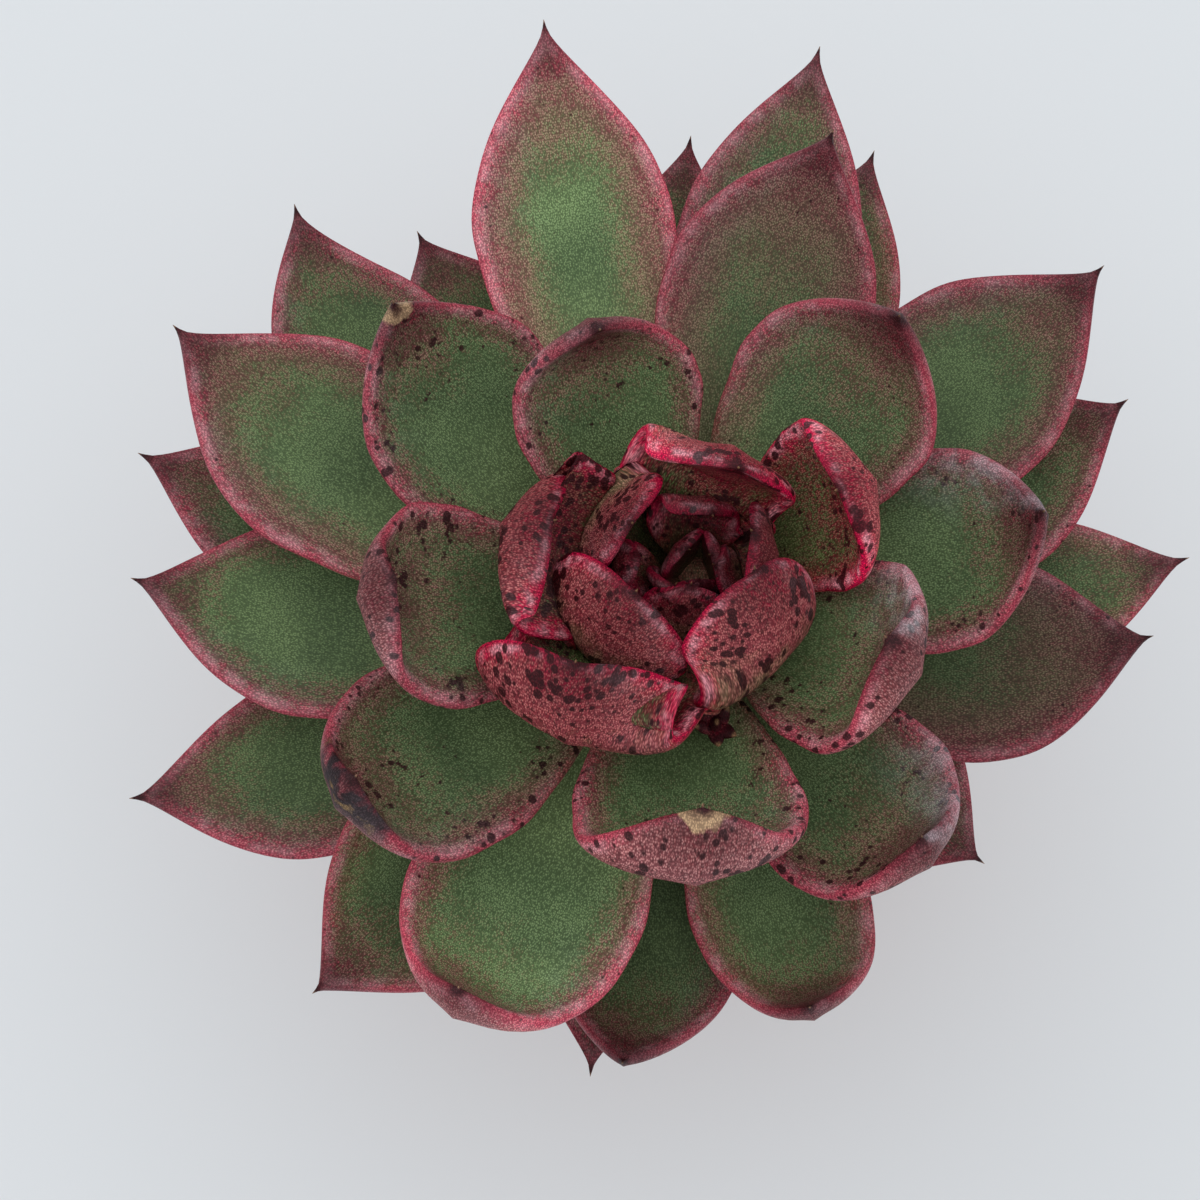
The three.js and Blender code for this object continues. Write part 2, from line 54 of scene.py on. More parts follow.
def linear(hexColour):
    # an sRGB hex value as the linear colour that Blender's sockets want
    channels = [int(hexColour[i:i + 2], 16) / 255 for i in (1, 3, 5)]
    return [c / 12.92 if c <= 0.04045 else ((c + 0.055) / 1.055) ** 2.4 for c in channels] + [1]


def addNode(tree, kind, settings=None, links=None):
    # settings are the node's own fields, its sockets' values, the stops of a colour ramp
    # or the points of a curve; a link comes from a socket, or from a node's own output
    node = tree.nodes.new("ShaderNode" + kind)
    for key, value in (settings or {}).items():
        if key == "stops":
            ramp = node.color_ramp.elements
            while len(ramp) < len(value):
                ramp.new(0.5)
            for element, (place, colour) in zip(ramp, value):
                element.position = place
                element.color = linear(colour)
        elif key == "curve":
            line = node.mapping.curves[0].points
            while len(line) < len(value):
                line.new(0.5, 0.5)
            for point, place in zip(line, value):
                point.location = place
            node.mapping.update()
        elif isinstance(key, str) and hasattr(node, key):
            setattr(node, key, value)
        else:
            node.inputs[key].default_value = value
    for key, source in (links or {}).items():
        if not hasattr(source, "is_linked"):
            source = next(output for output in source.outputs if output.enabled)
        tree.links.new(source, node.inputs[key])
    return node


def newMaterial(name):
    # an empty material, and addNode for its own tree
    material = bpy.data.materials.new(name)
    material.use_nodes = True
    material.node_tree.nodes.clear()
    return material, partial(addNode, material.node_tree)


def circle(sides):
    # the turns of points round a level unit circle, and the points
    turn = 2 * math.pi * np.arange(sides) / sides
    return turn, np.stack([np.cos(turn), np.sin(turn), 0 * turn], -1)


def ringFaces(count, sides, closed=False):
    # four-sided faces between each ring of points and the next; closed joins the last to the first
    faces = []
    for i in range(count if closed else count - 1):
        here, above = i * sides, (i + 1) % count * sides
        for j in range(sides):
            beside = (j + 1) % sides
            faces.append((here + j, here + beside, above + beside, above + j))
    return faces


def skinOverRings(rings, firstPoint, lastPoint):
    # closed skin over a stack of rings, with a point closing each end
    count, sides = rings.shape[:2]
    points = np.vstack([rings.reshape(-1, 3), firstPoint, lastPoint])
    faces = ringFaces(count, sides)
    first, last, top = count * sides, count * sides + 1, (count - 1) * sides
    faces += [(first, (j + 1) % sides, j) for j in range(sides)]
    faces += [(last, top + j, top + (j + 1) % sides) for j in range(sides)]
    return points, faces


def alongCurve(handles, t):
    # points at shares t of a curve from the first handle to the last, which the others pull
    while len(handles) > 1:
        handles = [a * (1 - t) + b * t for a, b in zip(handles, handles[1:])]
    return handles[0]


def makePiece(name, parts, materials, nodes):
    # joins parts of (points, faces, attributes, material number) into one object in metres
    points, faces, slots, start = [], [], [], 0
    for part in parts:
        points.append(part[0])
        faces += [tuple(start + k for k in face) for face in part[1]]
        slots += [part[3]] * len(part[1])
        start += len(part[0])
    mesh = bpy.data.meshes.new(name)
    mesh.from_pydata((np.vstack(points) * mm).tolist(), [], faces)
    for attribute in parts[0][2]:
        values = np.concatenate([part[2][attribute] for part in parts]).astype(np.float32)
        kind = "FLOAT_VECTOR" if values.ndim == 2 else "FLOAT"
        layer = mesh.attributes.new(attribute, kind, "POINT")
        layer.data.foreach_set("vector" if values.ndim == 2 else "value", values.ravel())
    for material in materials:
        mesh.materials.append(material)
    mesh.polygons.foreach_set("material_index", slots)
    mesh.shade_smooth()
    mesh.update()
    piece = bpy.data.objects.new(name, mesh)
    bpy.context.scene.collection.objects.link(piece)
    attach(piece, "root")
    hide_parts(*nodes)
    return piece


def smoothStep(x):
    x = np.clip(x, 0, 1)
    return x * x * (3 - 2 * x)


# camera, at the photograph's angle: almost straight down, leaning back a little

camera = {
    "target": (-6.8, -7.3, 79.5),   # the point in the middle of the picture, mm
    "distance": 240,                # mm from there
    "leanBack": 14,                 # degrees off straight down, towards the front
    "leanSide": -1,                 # degrees off straight down, sideways
    "lens": 72,
    "sensor": 36,
}


def placeCamera():
    back = Vector((math.tan(math.radians(camera["leanSide"])),
                   -math.tan(math.radians(camera["leanBack"])), 1)).normalized()
    up = (Vector((0, 1, 0)) - back * back.y).normalized()
    right = up.cross(back)
    data = bpy.data.cameras.new("camera")
    data.lens, data.sensor_width, data.sensor_fit = camera["lens"], camera["sensor"], "HORIZONTAL"
    data.clip_start, data.clip_end = 0.01, 20
    body = bpy.data.objects.new("camera", data)
    bpy.context.scene.collection.objects.link(body)
    place = Vector(camera["target"]) + back * camera["distance"]
    body.matrix_world = (Matrix.Translation(place * mm)
                         @ Matrix((right, up, back)).transposed().to_4x4())
    bpy.context.scene.camera = body


placeCamera()
print("camera placed")


# plant: the same spiral and curves as the solids, drawn finer

plant = {
    "origin": (-0.8, -6.3, 59.5),   # mm, where the stem leaves the soil; heights count from it
    "crownHeight": 31,
    "crownLean": (3, -1.5),         # mm that the stem leans over at the crown
    "leanPower": 1.3,
    "lowestRoot": 7,                # mm, where the oldest leaf leaves the stem
    "highestRoot": 30,
    "rootSpacing": 0.9,
    "youngestRootRadius": 1.2,
    "oldestRootRadius": 6.5,
    "rootTaper": 0.6,
    "firstRankApart": 4,            # the ranks up to here leave the stem at its very top
    "oldestRank": 47,
    "goldenAngle": 137.5,           # degrees from one leaf to the next
    "firstAzimuth": 62.8,
    "neckRadius": 3.9,              # mm, where the stem leaves the soil
    "rootSeat": 0.9,                # mm that leaf roots are sunk into the stem
    "coreFoot": 24.3,               # mm over the soil, where the cone of the growing tip starts
}

leafShape = {
    "rootWidth": 0.36,      # share of the width
    "widestAt": 0.62,       # share of the length
    "swelling": 1.9,
    "shoulder": 2.2,
    "tipPoint": 1.33,
    "neckWidth": 0.7,
    "thickness": 0.21,      # share of the width
    "innerShare": 0.26,     # share of the thickness that lies on the inner side
    "rootPlumpness": 0.55,
    "plumpestAt": 0.5,
    "thinningStart": 3,
    "thinningEnd": 0.55,
    "cup": 0.16,            # how hollow a blade is across
    "edgeRoundness": 0.72,
    "faceRoundness": 0.8,
    "rootHandle": 0.42,     # how far the slopes at root and tip reach into the curve
    "tipHandle": 0.38,
    "spikeLength": 2.1,     # mm, the hard point at the tip
    "spikeRadius": 0.42,
    "keel": 0.8,            # mm, the ridge down the back near the tip
    "wave": 0.22,           # mm, how far the margin strays up and down
    "bead": 0.28,           # mm, the raised edge just inside the margin
    "pressGap": 0.12,       # mm left between a leaf and a younger one that lies on it
    "rings": 60,
    "sides": 44,
    "heartRings": 44,
    "heartSides": 36,
}

# Every leaf, numbered from the growing tip outward: rank, turn, reach, tip, width, rise,
# curl, bow, and what else sets its blade apart. turn: degrees off the golden spiral.
# reach, tip: mm, how far out and how high its tip is. rise, curl: its slope at the root
# and at the tip. bow, tipSide: mm that the blade and its tip swing sideways. roll: its
# twist. cup: how hollow it is across. blunt, broad: a fuller outline near the tip.
leafColumns = ("rank", "turn", "reach", "tip", "width", "rise", "curl", "bow")
leafRows = [
    (1, -13, 1.5, 37.5, 5, 80, 110, 0, dict(blunt=0.8)),
    (2, -8, 1, 38.5, 6, 78, 125, 0, dict(blunt=0.8)),
    (3, 5, 0.8, 38.6, 6.2, 78, 120, 0, dict(blunt=0.8)),
    (4, -3, 3.2, 38.8, 7, 76, 128, 0, dict(blunt=0.8)),
    (5, -9, 3.9, 38.5, 9.4, 72, 124, 1,
     dict(tipSide=-1.2, roll=-2, rootHandle=0.82, tipHandle=0.62)),
    (6, 51, 1.2, 38.8, 5.8, 69, 108, -0.8,
     dict(tipSide=-1, roll=3, rootHandle=0.75, tipHandle=0.72, blunt=0.8)),
    (7, 10, 4.8, 39.8, 5.7, 75, 127, -0.7,
     dict(tipSide=-0.4, roll=-8, rootHandle=0.82, tipHandle=0.69, blunt=0.8)),
    (8, -51, 4.6, 39.8, 12, 78, 112, -1.6,
     dict(tipSide=2.9, roll=9, rootHandle=0.86, tipHandle=0.69, blunt=0.7, broad=0.7)),
    (9, -5, 2.8, 39.4, 8.7, 51, 111, 0.1,
     dict(tipSide=0.1, roll=-1, rootHandle=0.79, tipHandle=0.77, blunt=0.75, broad=0.7)),
    (10, 17, 5.8, 42.5, 11.5, 53, 104, -1.3,
     dict(tipSide=1.8, roll=3, rootHandle=0.99, tipHandle=0.84, blunt=0.7, broad=0.7)),
    (12, 14, 6.6, 41.7, 15.8, 52, 122, -0.7,
     dict(tipSide=-0.9, roll=3, cup=0.3, rootHandle=0.8, tipHandle=0.77, blunt=0.7, broad=0.7)),
    (13, 6, 7.7, 42.2, 16.4, 77, 107, 2.2,
     dict(tipSide=-3.1, roll=-7, rootHandle=0.85, tipHandle=0.66, blunt=0.65, broad=0.7)),
    (14, 8, 5.1, 43.2, 15.7, 62, 131, -3,
     dict(tipSide=3, roll=12, cup=0.3, rootHandle=0.87, tipHandle=0.74, blunt=0.6, broad=0.7)),
    (15, 9, 12.5, 41.6, 17.8, 73, 137, 1.4,
     dict(tipSide=0.1, roll=-8, cup=0.42, rootHandle=0.85, tipHandle=0.6, blunt=0.65, broad=0.7)),
    (16, -2, 14, 42, 17, 48, 140, 1, dict(cup=0.3, tipHandle=0.5, blunt=0.7, broad=0.68)),
    (17, -5, 15, 43.3, 21, 60, 118, 1.4,
     dict(tipSide=-3.5, roll=16, cup=0.45, rootHandle=0.83, tipHandle=0.69, blunt=0.6, broad=0.7)),
    (18, 4, 22, 42, 19, 40, 115, 1, dict(blunt=0.9)),
    (19, 4, 19.5, 41, 20, 40, 145, -1.5, dict(cup=0.24, tipHandle=0.42, blunt=0.75, broad=0.66)),
    (20, -6, 26.5, 41, 20, 34, 145, 1.5, dict(cup=0.24, blunt=0.75, broad=0.66)),
    (21, -7, 30.5, 40, 21.5, 30, 90, 0.5, dict(blunt=1)),
    (22, -5, 24, 41, 22, 32, 150, -1, dict(cup=0.22, tipHandle=0.52, blunt=0.7, broad=0.66)),
    (23, -2, 37, 38, 21, 24, 75, 2, dict(blunt=1.05)),
    (24, 5, 34.5, 36, 20.5, 22, 85, 0, dict(blunt=1)),
    (25, -10, 36.5, 38, 20.5, 20, 120, 1, dict(blunt=0.9)),
    (26, -17, 47.5, 33, 21.5, 16, 55, 1.5, {}),
    (27, 0, 34, 34, 20.5, 15, 115, -1, dict(blunt=0.9)),
    (28, -20, 56, 28, 22.5, 12, 40, 3.5, {}),
    (29, 2, 55, 26, 22, 9, 45, -0.5, {}),
    (30, -15, 44.5, 31, 23, 10, 110, 1.5, dict(blunt=0.9)),
    (31, -18, 61.5, 26, 21, 9, 35, 1.5, {}),
    (32, 12, 48, 22, 21.5, 8, 35, -3.5, {}),
    (33, -27, 54, 20, 20.5, 5, 28, 3.5, {}),
    (34, 7, 62.5, 20, 19.5, 3, 27, 0, {}),
    (35, -3, 43, 24, 18, 5, 95, 2, dict(blunt=0.9)),
    (36, -20, 57, 20, 19.5, 5, 30, 2, dict(tipTurn=-24)),
    (37, 9, 52.5, 18, 20.5, 4, 35, -1.5, {}),
    (38, -9, 52.5, 19, 22, 4, 35, 1.5, dict(root=12)),
    (39, -14, 54, 11, 16, 0, 18, 1.5, dict(root=9)),
    (40, -1, 41.5, 10, 19, 0, 10, 0, {}),
    (41, -22, 57, 14, 19, 2, 20, 2, {}),
    (42, 18, 59, 7.5, 18, -3, 10, -1.5, dict(root=7)),
    (43, -6, 46.5, 20, 19.5, 5, 70, 2, dict(blunt=1.1, root=10)),
    (44, -11, 49.5, 12, 19, 0, 20, 1, {}),
    (45, 11, 55.5, 12, 18, 0, 20, -2.5, {}),
    (46, -18, 57.5, 11, 19.5, -3, 18, 3.5, {}),
    (51, 11, 47.5, 6.5, 14, -1, 0, -1, dict(root=7, thick=0.19)),
]
leaves = [dict(zip(leafColumns, row), **row[-1]) for row in leafRows]
lastHeartRank = 12      # up to here they are fused into the heart
lastYoungRank = 17      # and up to here they wear the redder skin of young leaves

# What sets the skin of single leaves apart. Painted light and shade for each leaf: how much
# lighter or darker the whole leaf is drawn, lighter where it faces the light, darker in the
# shade of the heart. flush: mm that the red reaches in from the margin. spots: dark flecks.
# bloom: chalky wax down one side. bruise: dark sunken patch near the tip. yellow: fading low
# leaves. scar: torn dry tip.
plainMarks = dict(tone=1, spots=0.25, bloom=0.06, bruise=0, yellow=0, scar=0)
plainFlush = (4.2, 5.4)     # mm, drawn anew for each leaf that has no flush of its own
leafMarks = {
    1: dict(spots=0.6, tone=0.8), 2: dict(spots=0.6, tone=0.8), 3: dict(spots=0.6, tone=0.8),
    4: dict(spots=0.7, tone=0.8), 5: dict(spots=0.8, tone=0.9), 6: dict(spots=0.7, tone=0.8),
    7: dict(spots=0.7, tone=0.9), 8: dict(spots=1),
    9: dict(spots=1, tone=1.1), 10: dict(spots=1, tone=1.1), 12: dict(spots=1, tone=1.15),
    13: dict(spots=1, tone=1.5), 14: dict(spots=1), 15: dict(spots=1),
    16: dict(spots=0.9, tone=1.6), 17: dict(spots=1, tone=1.1), 18: dict(spots=0.8, tone=1.1),
    19: dict(spots=0.7, bloom=0.4, tone=1.15), 20: dict(spots=0.8), 21: dict(flush=5.5),
    22: dict(spots=0.8, scar=1, tone=1.2), 23: dict(spots=0.8, scar=1, tone=1.05),
    24: dict(spots=0.6, bloom=0.4), 25: dict(spots=0.8, bruise=1), 26: dict(flush=9, tone=0.9),
    27: dict(flush=5.5, spots=0.7, bloom=0.4), 28: dict(flush=6.5, tone=1.1),
    29: dict(flush=6.5, tone=0.85), 30: dict(tone=1.5), 31: dict(flush=7.5, tone=1.55),
    32: dict(flush=9, tone=0.62), 33: dict(tone=1.05), 34: dict(flush=5.5),
    35: dict(yellow=0.5), 38: dict(yellow=0.6), 42: dict(yellow=0.8), 43: dict(tone=0.75),
    45: dict(yellow=0.7),
}


def stemAxis(height):
    lean = (np.maximum(0, height) / plant["crownHeight"]) ** plant["leanPower"]
    x, y = plant["crownLean"]
    return np.stack([x * lean, y * lean, np.asarray(height, float) + 0 * lean], -1)


def age(rank):
    # 0 at the growing tip, 1 for the oldest leaf
    return max(0, rank - plant["firstRankApart"]) / (plant["oldestRank"] - plant["firstRankApart"])


def rootRadius(share):
    young, old = plant["youngestRootRadius"], plant["oldestRootRadius"]
    return young + (old - young) * share ** plant["rootTaper"]


def leafSpine(leaf):
    # middle line of a leaf as a cubic curve from its root to its tip, and the way across it
    azimuth = math.radians(plant["firstAzimuth"] - plant["goldenAngle"] * leaf["rank"] + leaf["turn"])
    low, high = plant["lowestRoot"], plant["highestRoot"]
    height = leaf.get("root", high + (low - high) * age(leaf["rank"]) ** plant["rootSpacing"])
    axis = stemAxis(height)
    outward = np.array([math.cos(azimuth), math.sin(azimuth), 0])
    across = np.array([-math.sin(azimuth), math.cos(azimuth), 0])
    root = axis + outward * rootRadius(age(leaf["rank"]))
    tip = axis + outward * leaf["reach"] + across * leaf.get("tipSide", 0)
    tip[2] = leaf["tip"]
    chord = np.linalg.norm(tip - root)
    tipAzimuth = azimuth + math.radians(leaf.get("tipTurn", 0))
    rise, curl = math.radians(leaf["rise"]), math.radians(leaf["curl"])
    leaving = outward * math.cos(rise) + np.array([0, 0, math.sin(rise)])
    arriving = np.array([math.cos(tipAzimuth) * math.cos(curl),
                         math.sin(tipAzimuth) * math.cos(curl), math.sin(curl)])
    swing = across * leaf["bow"]
    rootHandle = root + leaving * chord * leaf.get("rootHandle", leafShape["rootHandle"]) + swing
    tipHandle = tip - arriving * chord * leaf.get("tipHandle", leafShape["tipHandle"]) + swing
    return (root, rootHandle, tipHandle, tip), across


def alongSpine(leaf, shares):
    # points, forward, sideways and inward directions at even shares of the leaf's length
    (a, b, c, d), across = leafSpine(leaf)
    t = np.linspace(0, 1, 401)[:, None]
    steps = np.linalg.norm(np.diff(alongCurve((a, b, c, d), t), axis=0), axis=1)
    walked = np.concatenate([[0], np.cumsum(steps)])
    u = np.interp(shares * walked[-1], walked, t[:, 0])[:, None]
    middle, forward = alongCurve((a, b, c, d), u), alongCurve((b - a, c - b, d - c), u)
    forward /= np.linalg.norm(forward, axis=1)[:, None]
    side = across - forward * (forward @ across)[:, None]
    side /= np.linalg.norm(side, axis=1)[:, None]
    roll = np.radians(leaf.get("roll", 0) * (1 - (1 - shares) ** 2))[:, None]
    side = side * np.cos(roll) + np.cross(forward, side) * np.sin(roll)
    return middle, forward, side, np.cross(forward, side), walked[-1]


def leafProfile(leaf, shares, length):
    # half width and the depths of the inner and the outer face, in mm, along the leaf
    shape = leafShape
    blade = np.minimum(1, shares * length / (length - 0.35 * shape["spikeLength"]))
    widest = leaf.get("broad", shape["widestAt"])
    opening = shape["rootWidth"] + (1 - shape["rootWidth"]) * np.sin(
        np.minimum(1, blade / widest) * math.pi / 2) ** shape["swelling"]
    toTip = np.clip((blade - widest) / (1 - widest), 0, 1)
    closing = (1 - toTip ** shape["shoulder"]) ** leaf.get("blunt", shape["tipPoint"])
    half = leaf["width"] / 2 * np.where(blade < widest, opening, closing)
    half = np.maximum(half, shape["neckWidth"] * (1 - shares) / 2)
    plump = shape["rootPlumpness"] + (1 - shape["rootPlumpness"]) * np.sin(
        np.minimum(1, blade / shape["plumpestAt"]) * math.pi / 2)
    plump = plump * (1 - blade ** shape["thinningStart"]) ** shape["thinningEnd"]
    thick = leaf["width"] * leaf.get("thick", shape["thickness"]) * plump
    spike = shape["spikeRadius"] * np.clip((1 - shares) * length / shape["spikeLength"], 0, 1) ** 0.8
    spike = spike * min(1, leaf["width"] / 12)
    inner = shape["innerShare"] * thick
    outer = (1 - shape["innerShare"]) * thick
    return [(w ** 3 + spike ** 3) ** (1 / 3) for w in (half, inner, outer)]


def skinValues(points, rim, tip, share, tone=1, marks=(0, 0, 0), nature=(0, 0, 0)):
    # what the leaf skin reads at every point, from one value for all or one for each
    one, three = np.zeros(len(points)), np.zeros((len(points), 3))
    return {"blade": points, "rim": one + rim, "tip": one + tip, "share": one + share,
            "tone": one + tone, "marks": three + marks, "nature": three + nature}


def fromMargin(points):
    # mm round the section from the nearer margin, positive on the inner face
    rings, sides = points.shape[:2]
    gaps = np.linalg.norm(np.roll(points, -1, axis=1) - points, axis=2)
    walked = np.concatenate([np.zeros((rings, 1)), np.cumsum(gaps, axis=1)], axis=1)
    lap, halfLap, walked = walked[:, -1:], walked[:, sides // 2, None], walked[:, :-1]
    return np.where(walked <= halfLap, np.minimum(walked, halfLap - walked),
                    -np.minimum(walked - halfLap, lap - walked))


def leafBody(leaf, rings, sides):
    # skin of one leaf, with what its material needs to know at every point
    shape, seed = leafShape, random.Random(leaf["rank"] * 7 + 3)
    shares = np.minimum(0.9985, (np.arange(rings) / (rings - 1)) ** 0.86)
    middle, forward, side, inward, length = alongSpine(leaf, shares)
    half, inner, outer = leafProfile(leaf, shares, length)
    cos, sin, _ = circle(sides)[1].T
    x = np.sign(cos) * np.abs(cos) ** shape["edgeRoundness"]
    y = np.sign(sin) * np.abs(sin) ** shape["faceRoundness"]
    x[np.abs(cos) < 1e-9] = 0
    y[np.abs(sin) < 1e-9] = 0
    s = shares[:, None]
    depth = np.where(y > 0, y * inner[:, None], y * outer[:, None])
    cupping = leaf.get("cup", shape["cup"]) * (0.4 + 0.6 * s) * half[:, None] * x * x
    # the margin strays a little, the ridge runs down the back and the bead along the edge
    phases = [seed.uniform(0, 2 * math.pi) for _ in range(6)]
    fade = np.sin(math.pi * np.clip(s * 1.05, 0, 1)) ** 0.7 * min(1, leaf["width"] / 18)
    wave = shape["wave"] * fade * np.abs(x) ** 3 * np.where(
        x > 0, np.sin(9 * s + phases[0]) + 0.5 * np.sin(23 * s + phases[1]),
        np.sin(10 * s + phases[2]) + 0.5 * np.sin(21 * s + phases[3]))
    ripple = (0.012 * np.sin(17 * s + phases[4] + np.sign(x))
              + 0.008 * np.sin(37 * s + phases[5] - np.sign(x)))
    keel = shape["keel"] * min(1, leaf["width"] / 16) * smoothStep((s - 0.45) / 0.4) * (1 - s ** 6)
    keel = keel * np.exp(-(x / 0.2) ** 2) * (y < 0)
    bead = shape["bead"] * fade * np.exp(-((np.abs(x) - 0.9) / 0.07) ** 2) * (y > 0)
    lift = depth + cupping + wave - keel + bead
    sideways = half[:, None] * x * (1 + fade * ripple)
    points = middle[:, None] + side[:, None] * sideways[..., None] + inward[:, None] * lift[..., None]
    tipPoint = middle[-1] + forward[-1] * (1 - shares[-1]) * length
    body, faces = skinOverRings(points, middle[0] - forward[0] * 0.01, tipPoint)

    shift = np.array([seed.uniform(-90, 90) for _ in range(3)])
    blade = np.stack([sideways, s * length + 0 * sideways, depth], -1) + shift
    low, high = plainFlush
    flush = low + (high - low) * seed.random()
    own = {"flush": flush, **plainMarks, **leafMarks.get(leaf["rank"], {})}
    outside = smoothStep((x - 0.1) / 0.8) * smoothStep((s - 0.45) / 0.35)
    bloom = own["bloom"] * outside * smoothStep((s - 0.2) / 0.3)
    bruise = own["bruise"] * smoothStep((s - 0.84) / 0.08) + 0 * x
    yellow = own["yellow"] * 0.3 * smoothStep((np.abs(x) - 0.3) / 0.6) + 0 * s
    toTip = np.linalg.norm(points - tipPoint, axis=2)
    values = skinValues(
        blade.reshape(-1, 3), fromMargin(points).ravel(), toTip.ravel(),
        (s + 0 * sideways).ravel(), own["tone"],
        np.stack([bloom, bruise, yellow], -1).reshape(-1, 3),
        (own["spots"], own["flush"], own["scar"]))
    # the two end points take the values of the points beside them
    return body, faces, {name: np.concatenate([field, field[:1], field[-1:]])
                         for name, field in values.items()}


def pressUnder(points, rim, share, leaf):
    # dents a leaf where a younger one lies on it, as real ones press on each other
    gap, steps = leafShape["pressGap"], np.linspace(0.1, 0.99, 130)
    middle, forward, side, inward, length = alongSpine(leaf, steps)
    half, inner, outer = leafProfile(leaf, steps, length)
    reach = leaf["width"] / 2 + 2
    near = np.all((points > middle.min(0) - reach) & (points < middle.max(0) + reach), axis=1)
    near &= share > 0.08
    index = np.flatnonzero(near)
    if not len(index):
        return points
    p = points[index]
    away = ((p[:, None] - middle[None]) ** 2).sum(2)
    k = away.argmin(1)
    local = p - middle[k]
    x = (local * side[k]).sum(1) / half[k]
    z = (local * inward[k]).sum(1)
    inside = np.abs(x) < 1
    cosine = np.clip(np.abs(x), 0, 1) ** (1 / leafShape["edgeRoundness"])
    y = np.sqrt(1 - cosine ** 2) ** leafShape["faceRoundness"]
    cupping = leaf.get("cup", leafShape["cup"]) * (0.4 + 0.6 * steps[k]) * half[k] * x * x
    top, bottom = inner[k] * y + cupping, -outer[k] * y + cupping
    inside &= (z < top + gap) & (z > bottom - gap) & (k > 0) & (k < len(steps) - 1)
    drop = bottom - gap - z - np.where(rim[index] < 0, 0.5, 0)
    moved = p + inward[k] * drop[:, None]
    points = points.copy()
    points[index[inside]] = moved[inside]
    return points


# leaf skin

# Echeveria leaf: a succulent blade with a waxy skin of tiny raised cells. It grows
# green, and sun turns it red from the margin inward, cell by cell, which gives the eye
# a stippled change of colour, a fine grain and a brighter rim.
leafSkin = {
    "rimRed": "#b42546",
    "wineRed": "#863340",
    "mauveBrown": "#765044",
    "oliveBrown": "#666342",
    "green": "#5f784a",
    "greenShade": "#4e663e",
    "baseGreen": "#7e8e5c",
    "backRose": "#a84a50",
    "backMauve": "#94494f",
    "backGrey": "#8a9070",
    "paleCell": "#d8a8a0",
    "paleGreenCell": "#9aa67c",
    # painted highlight: the pinkish-white shine along the margin
    "paintedHighlightPink": "#e09aa4",
    "spot": "#30080f",
    "spike": "#3a1218",
    "spikeEnd": "#a07c5e",
    "bloom": "#cfcbd2",
    "bruise": "#29151c",
    "crust": "#8a6a3c",
    "scarTan": "#b08f6d",
    "yellow": "#8b9750",
    "cellSize": 0.2,        # mm; real cells are 0.1 mm, drawn coarser so that they show
    "cellShare": (1.3, 0.75, 1.1),  # cells across, along and through the blade, per cell size
    "mottleSize": 2.2,      # mm across a patch of uneven colour
    "driftSize": 11,        # mm across a slow change of colour
    "spotSize": 1.15,       # mm across a dark fleck
    "clumpSize": 4.5,       # mm across a drift of flecks
    "stipple": 2.4,         # mm over which single cells turn red
    "mottleStray": 3.4,     # mm that the red strays with the patches
    "driftStray": 3.0,      # mm that it strays with the slow change
    "marginWidth": 2.2,     # mm of clear red along the edge
    "paintedCrestHighlight": 0.45,          # how much the painted pink highlight along the margin shows
    "backStipple": 0.5,     # how strongly pale cells show on the back
    "faceStipple": 0.24,    # and on the inner face
    "richness": 0.96,       # saturation of the whole skin
    "rootShade": 1,         # how bright the skin is at the root, where 1 is as bright as the tip
    "gapShade": 0.56,       # brightness between the cells
    "crownShade": 1.5,      # brightness on top of a cell
    "roughness": 0.5,
    "waxIor": 1.45,
    "waxShine": 0.24,
    "cellHeight": 0.05,     # mm
}


def leafFields(add, look):
    # what the mesh says of every point, the grain of the skin, and how far in the point lies
    blade, marks, nature = (
        add("Attribute", {"attribute_name": field}).outputs["Vector"]
        for field in ("blade", "marks", "nature"))
    rim, tip, share, tone = (
        add("Attribute", {"attribute_name": field}).outputs["Fac"]
        for field in ("rim", "tip", "share", "tone"))
    bloom, bruise, yellow = add("SeparateXYZ", links={0: marks}).outputs
    spots, flush, scar = add("SeparateXYZ", links={0: nature}).outputs

    # cells stand in rows along the blade, so they are drawn a little longer than wide
    rows = add("VectorMath", {"operation": "MULTIPLY", 1: look["cellShare"]}, {0: blade})
    cells = add("TexVoronoi", {"Scale": 1 / look["cellSize"], "Randomness": 0.75}, {"Vector": rows})
    chance = add("SeparateColor", links={0: cells.outputs["Color"]})
    crown = add("MapRange", {1: 0.62, 2: 0.12}, {0: cells.outputs["Distance"]})
    some = add("MapRange", {3: 0.45, 4: 1}, {0: chance.outputs[1]})
    glow = add("Math", {"operation": "MULTIPLY"}, {0: crown, 1: some})
    mottle = add("TexNoise", {"Scale": 1 / look["mottleSize"], "Detail": 4}, {"Vector": blade})
    drift = add("TexNoise", {"Scale": 1 / look["driftSize"], "Detail": 2}, {"Vector": blade})

    # depth: mm from the edge, strayed by cell, patch and drift, in shares of the flush
    fromRim = add("Math", {"operation": "ABSOLUTE"}, {0: rim})
    fromTip = add("Math", {"operation": "MULTIPLY", 1: 0.42}, {0: tip})
    strayed = add("Math", {"operation": "SMOOTH_MIN", 2: 1.5}, {0: fromRim, 1: fromTip})
    strays = [(chance, look["stipple"]), (mottle, look["mottleStray"]), (drift, look["driftStray"])]
    for field, reach in strays:
        strayed = add("Math", {"operation": "MULTIPLY_ADD", 1: reach}, {0: field, 2: strayed})
    centred = add("Math", {"operation": "SUBTRACT", 1: sum(reach for _, reach in strays) / 2},
                  {0: strayed})
    depth = add("Math", {"operation": "DIVIDE"}, {0: centred, 1: flush})
    return SimpleNamespace(
        blade=blade, rim=rim, tip=tip, share=share, tone=tone, bloom=bloom, bruise=bruise,
        yellow=yellow, spots=spots, scar=scar, chance=chance, crown=crown, glow=glow,
        mottle=mottle, drift=drift, fromRim=fromRim, depth=depth)


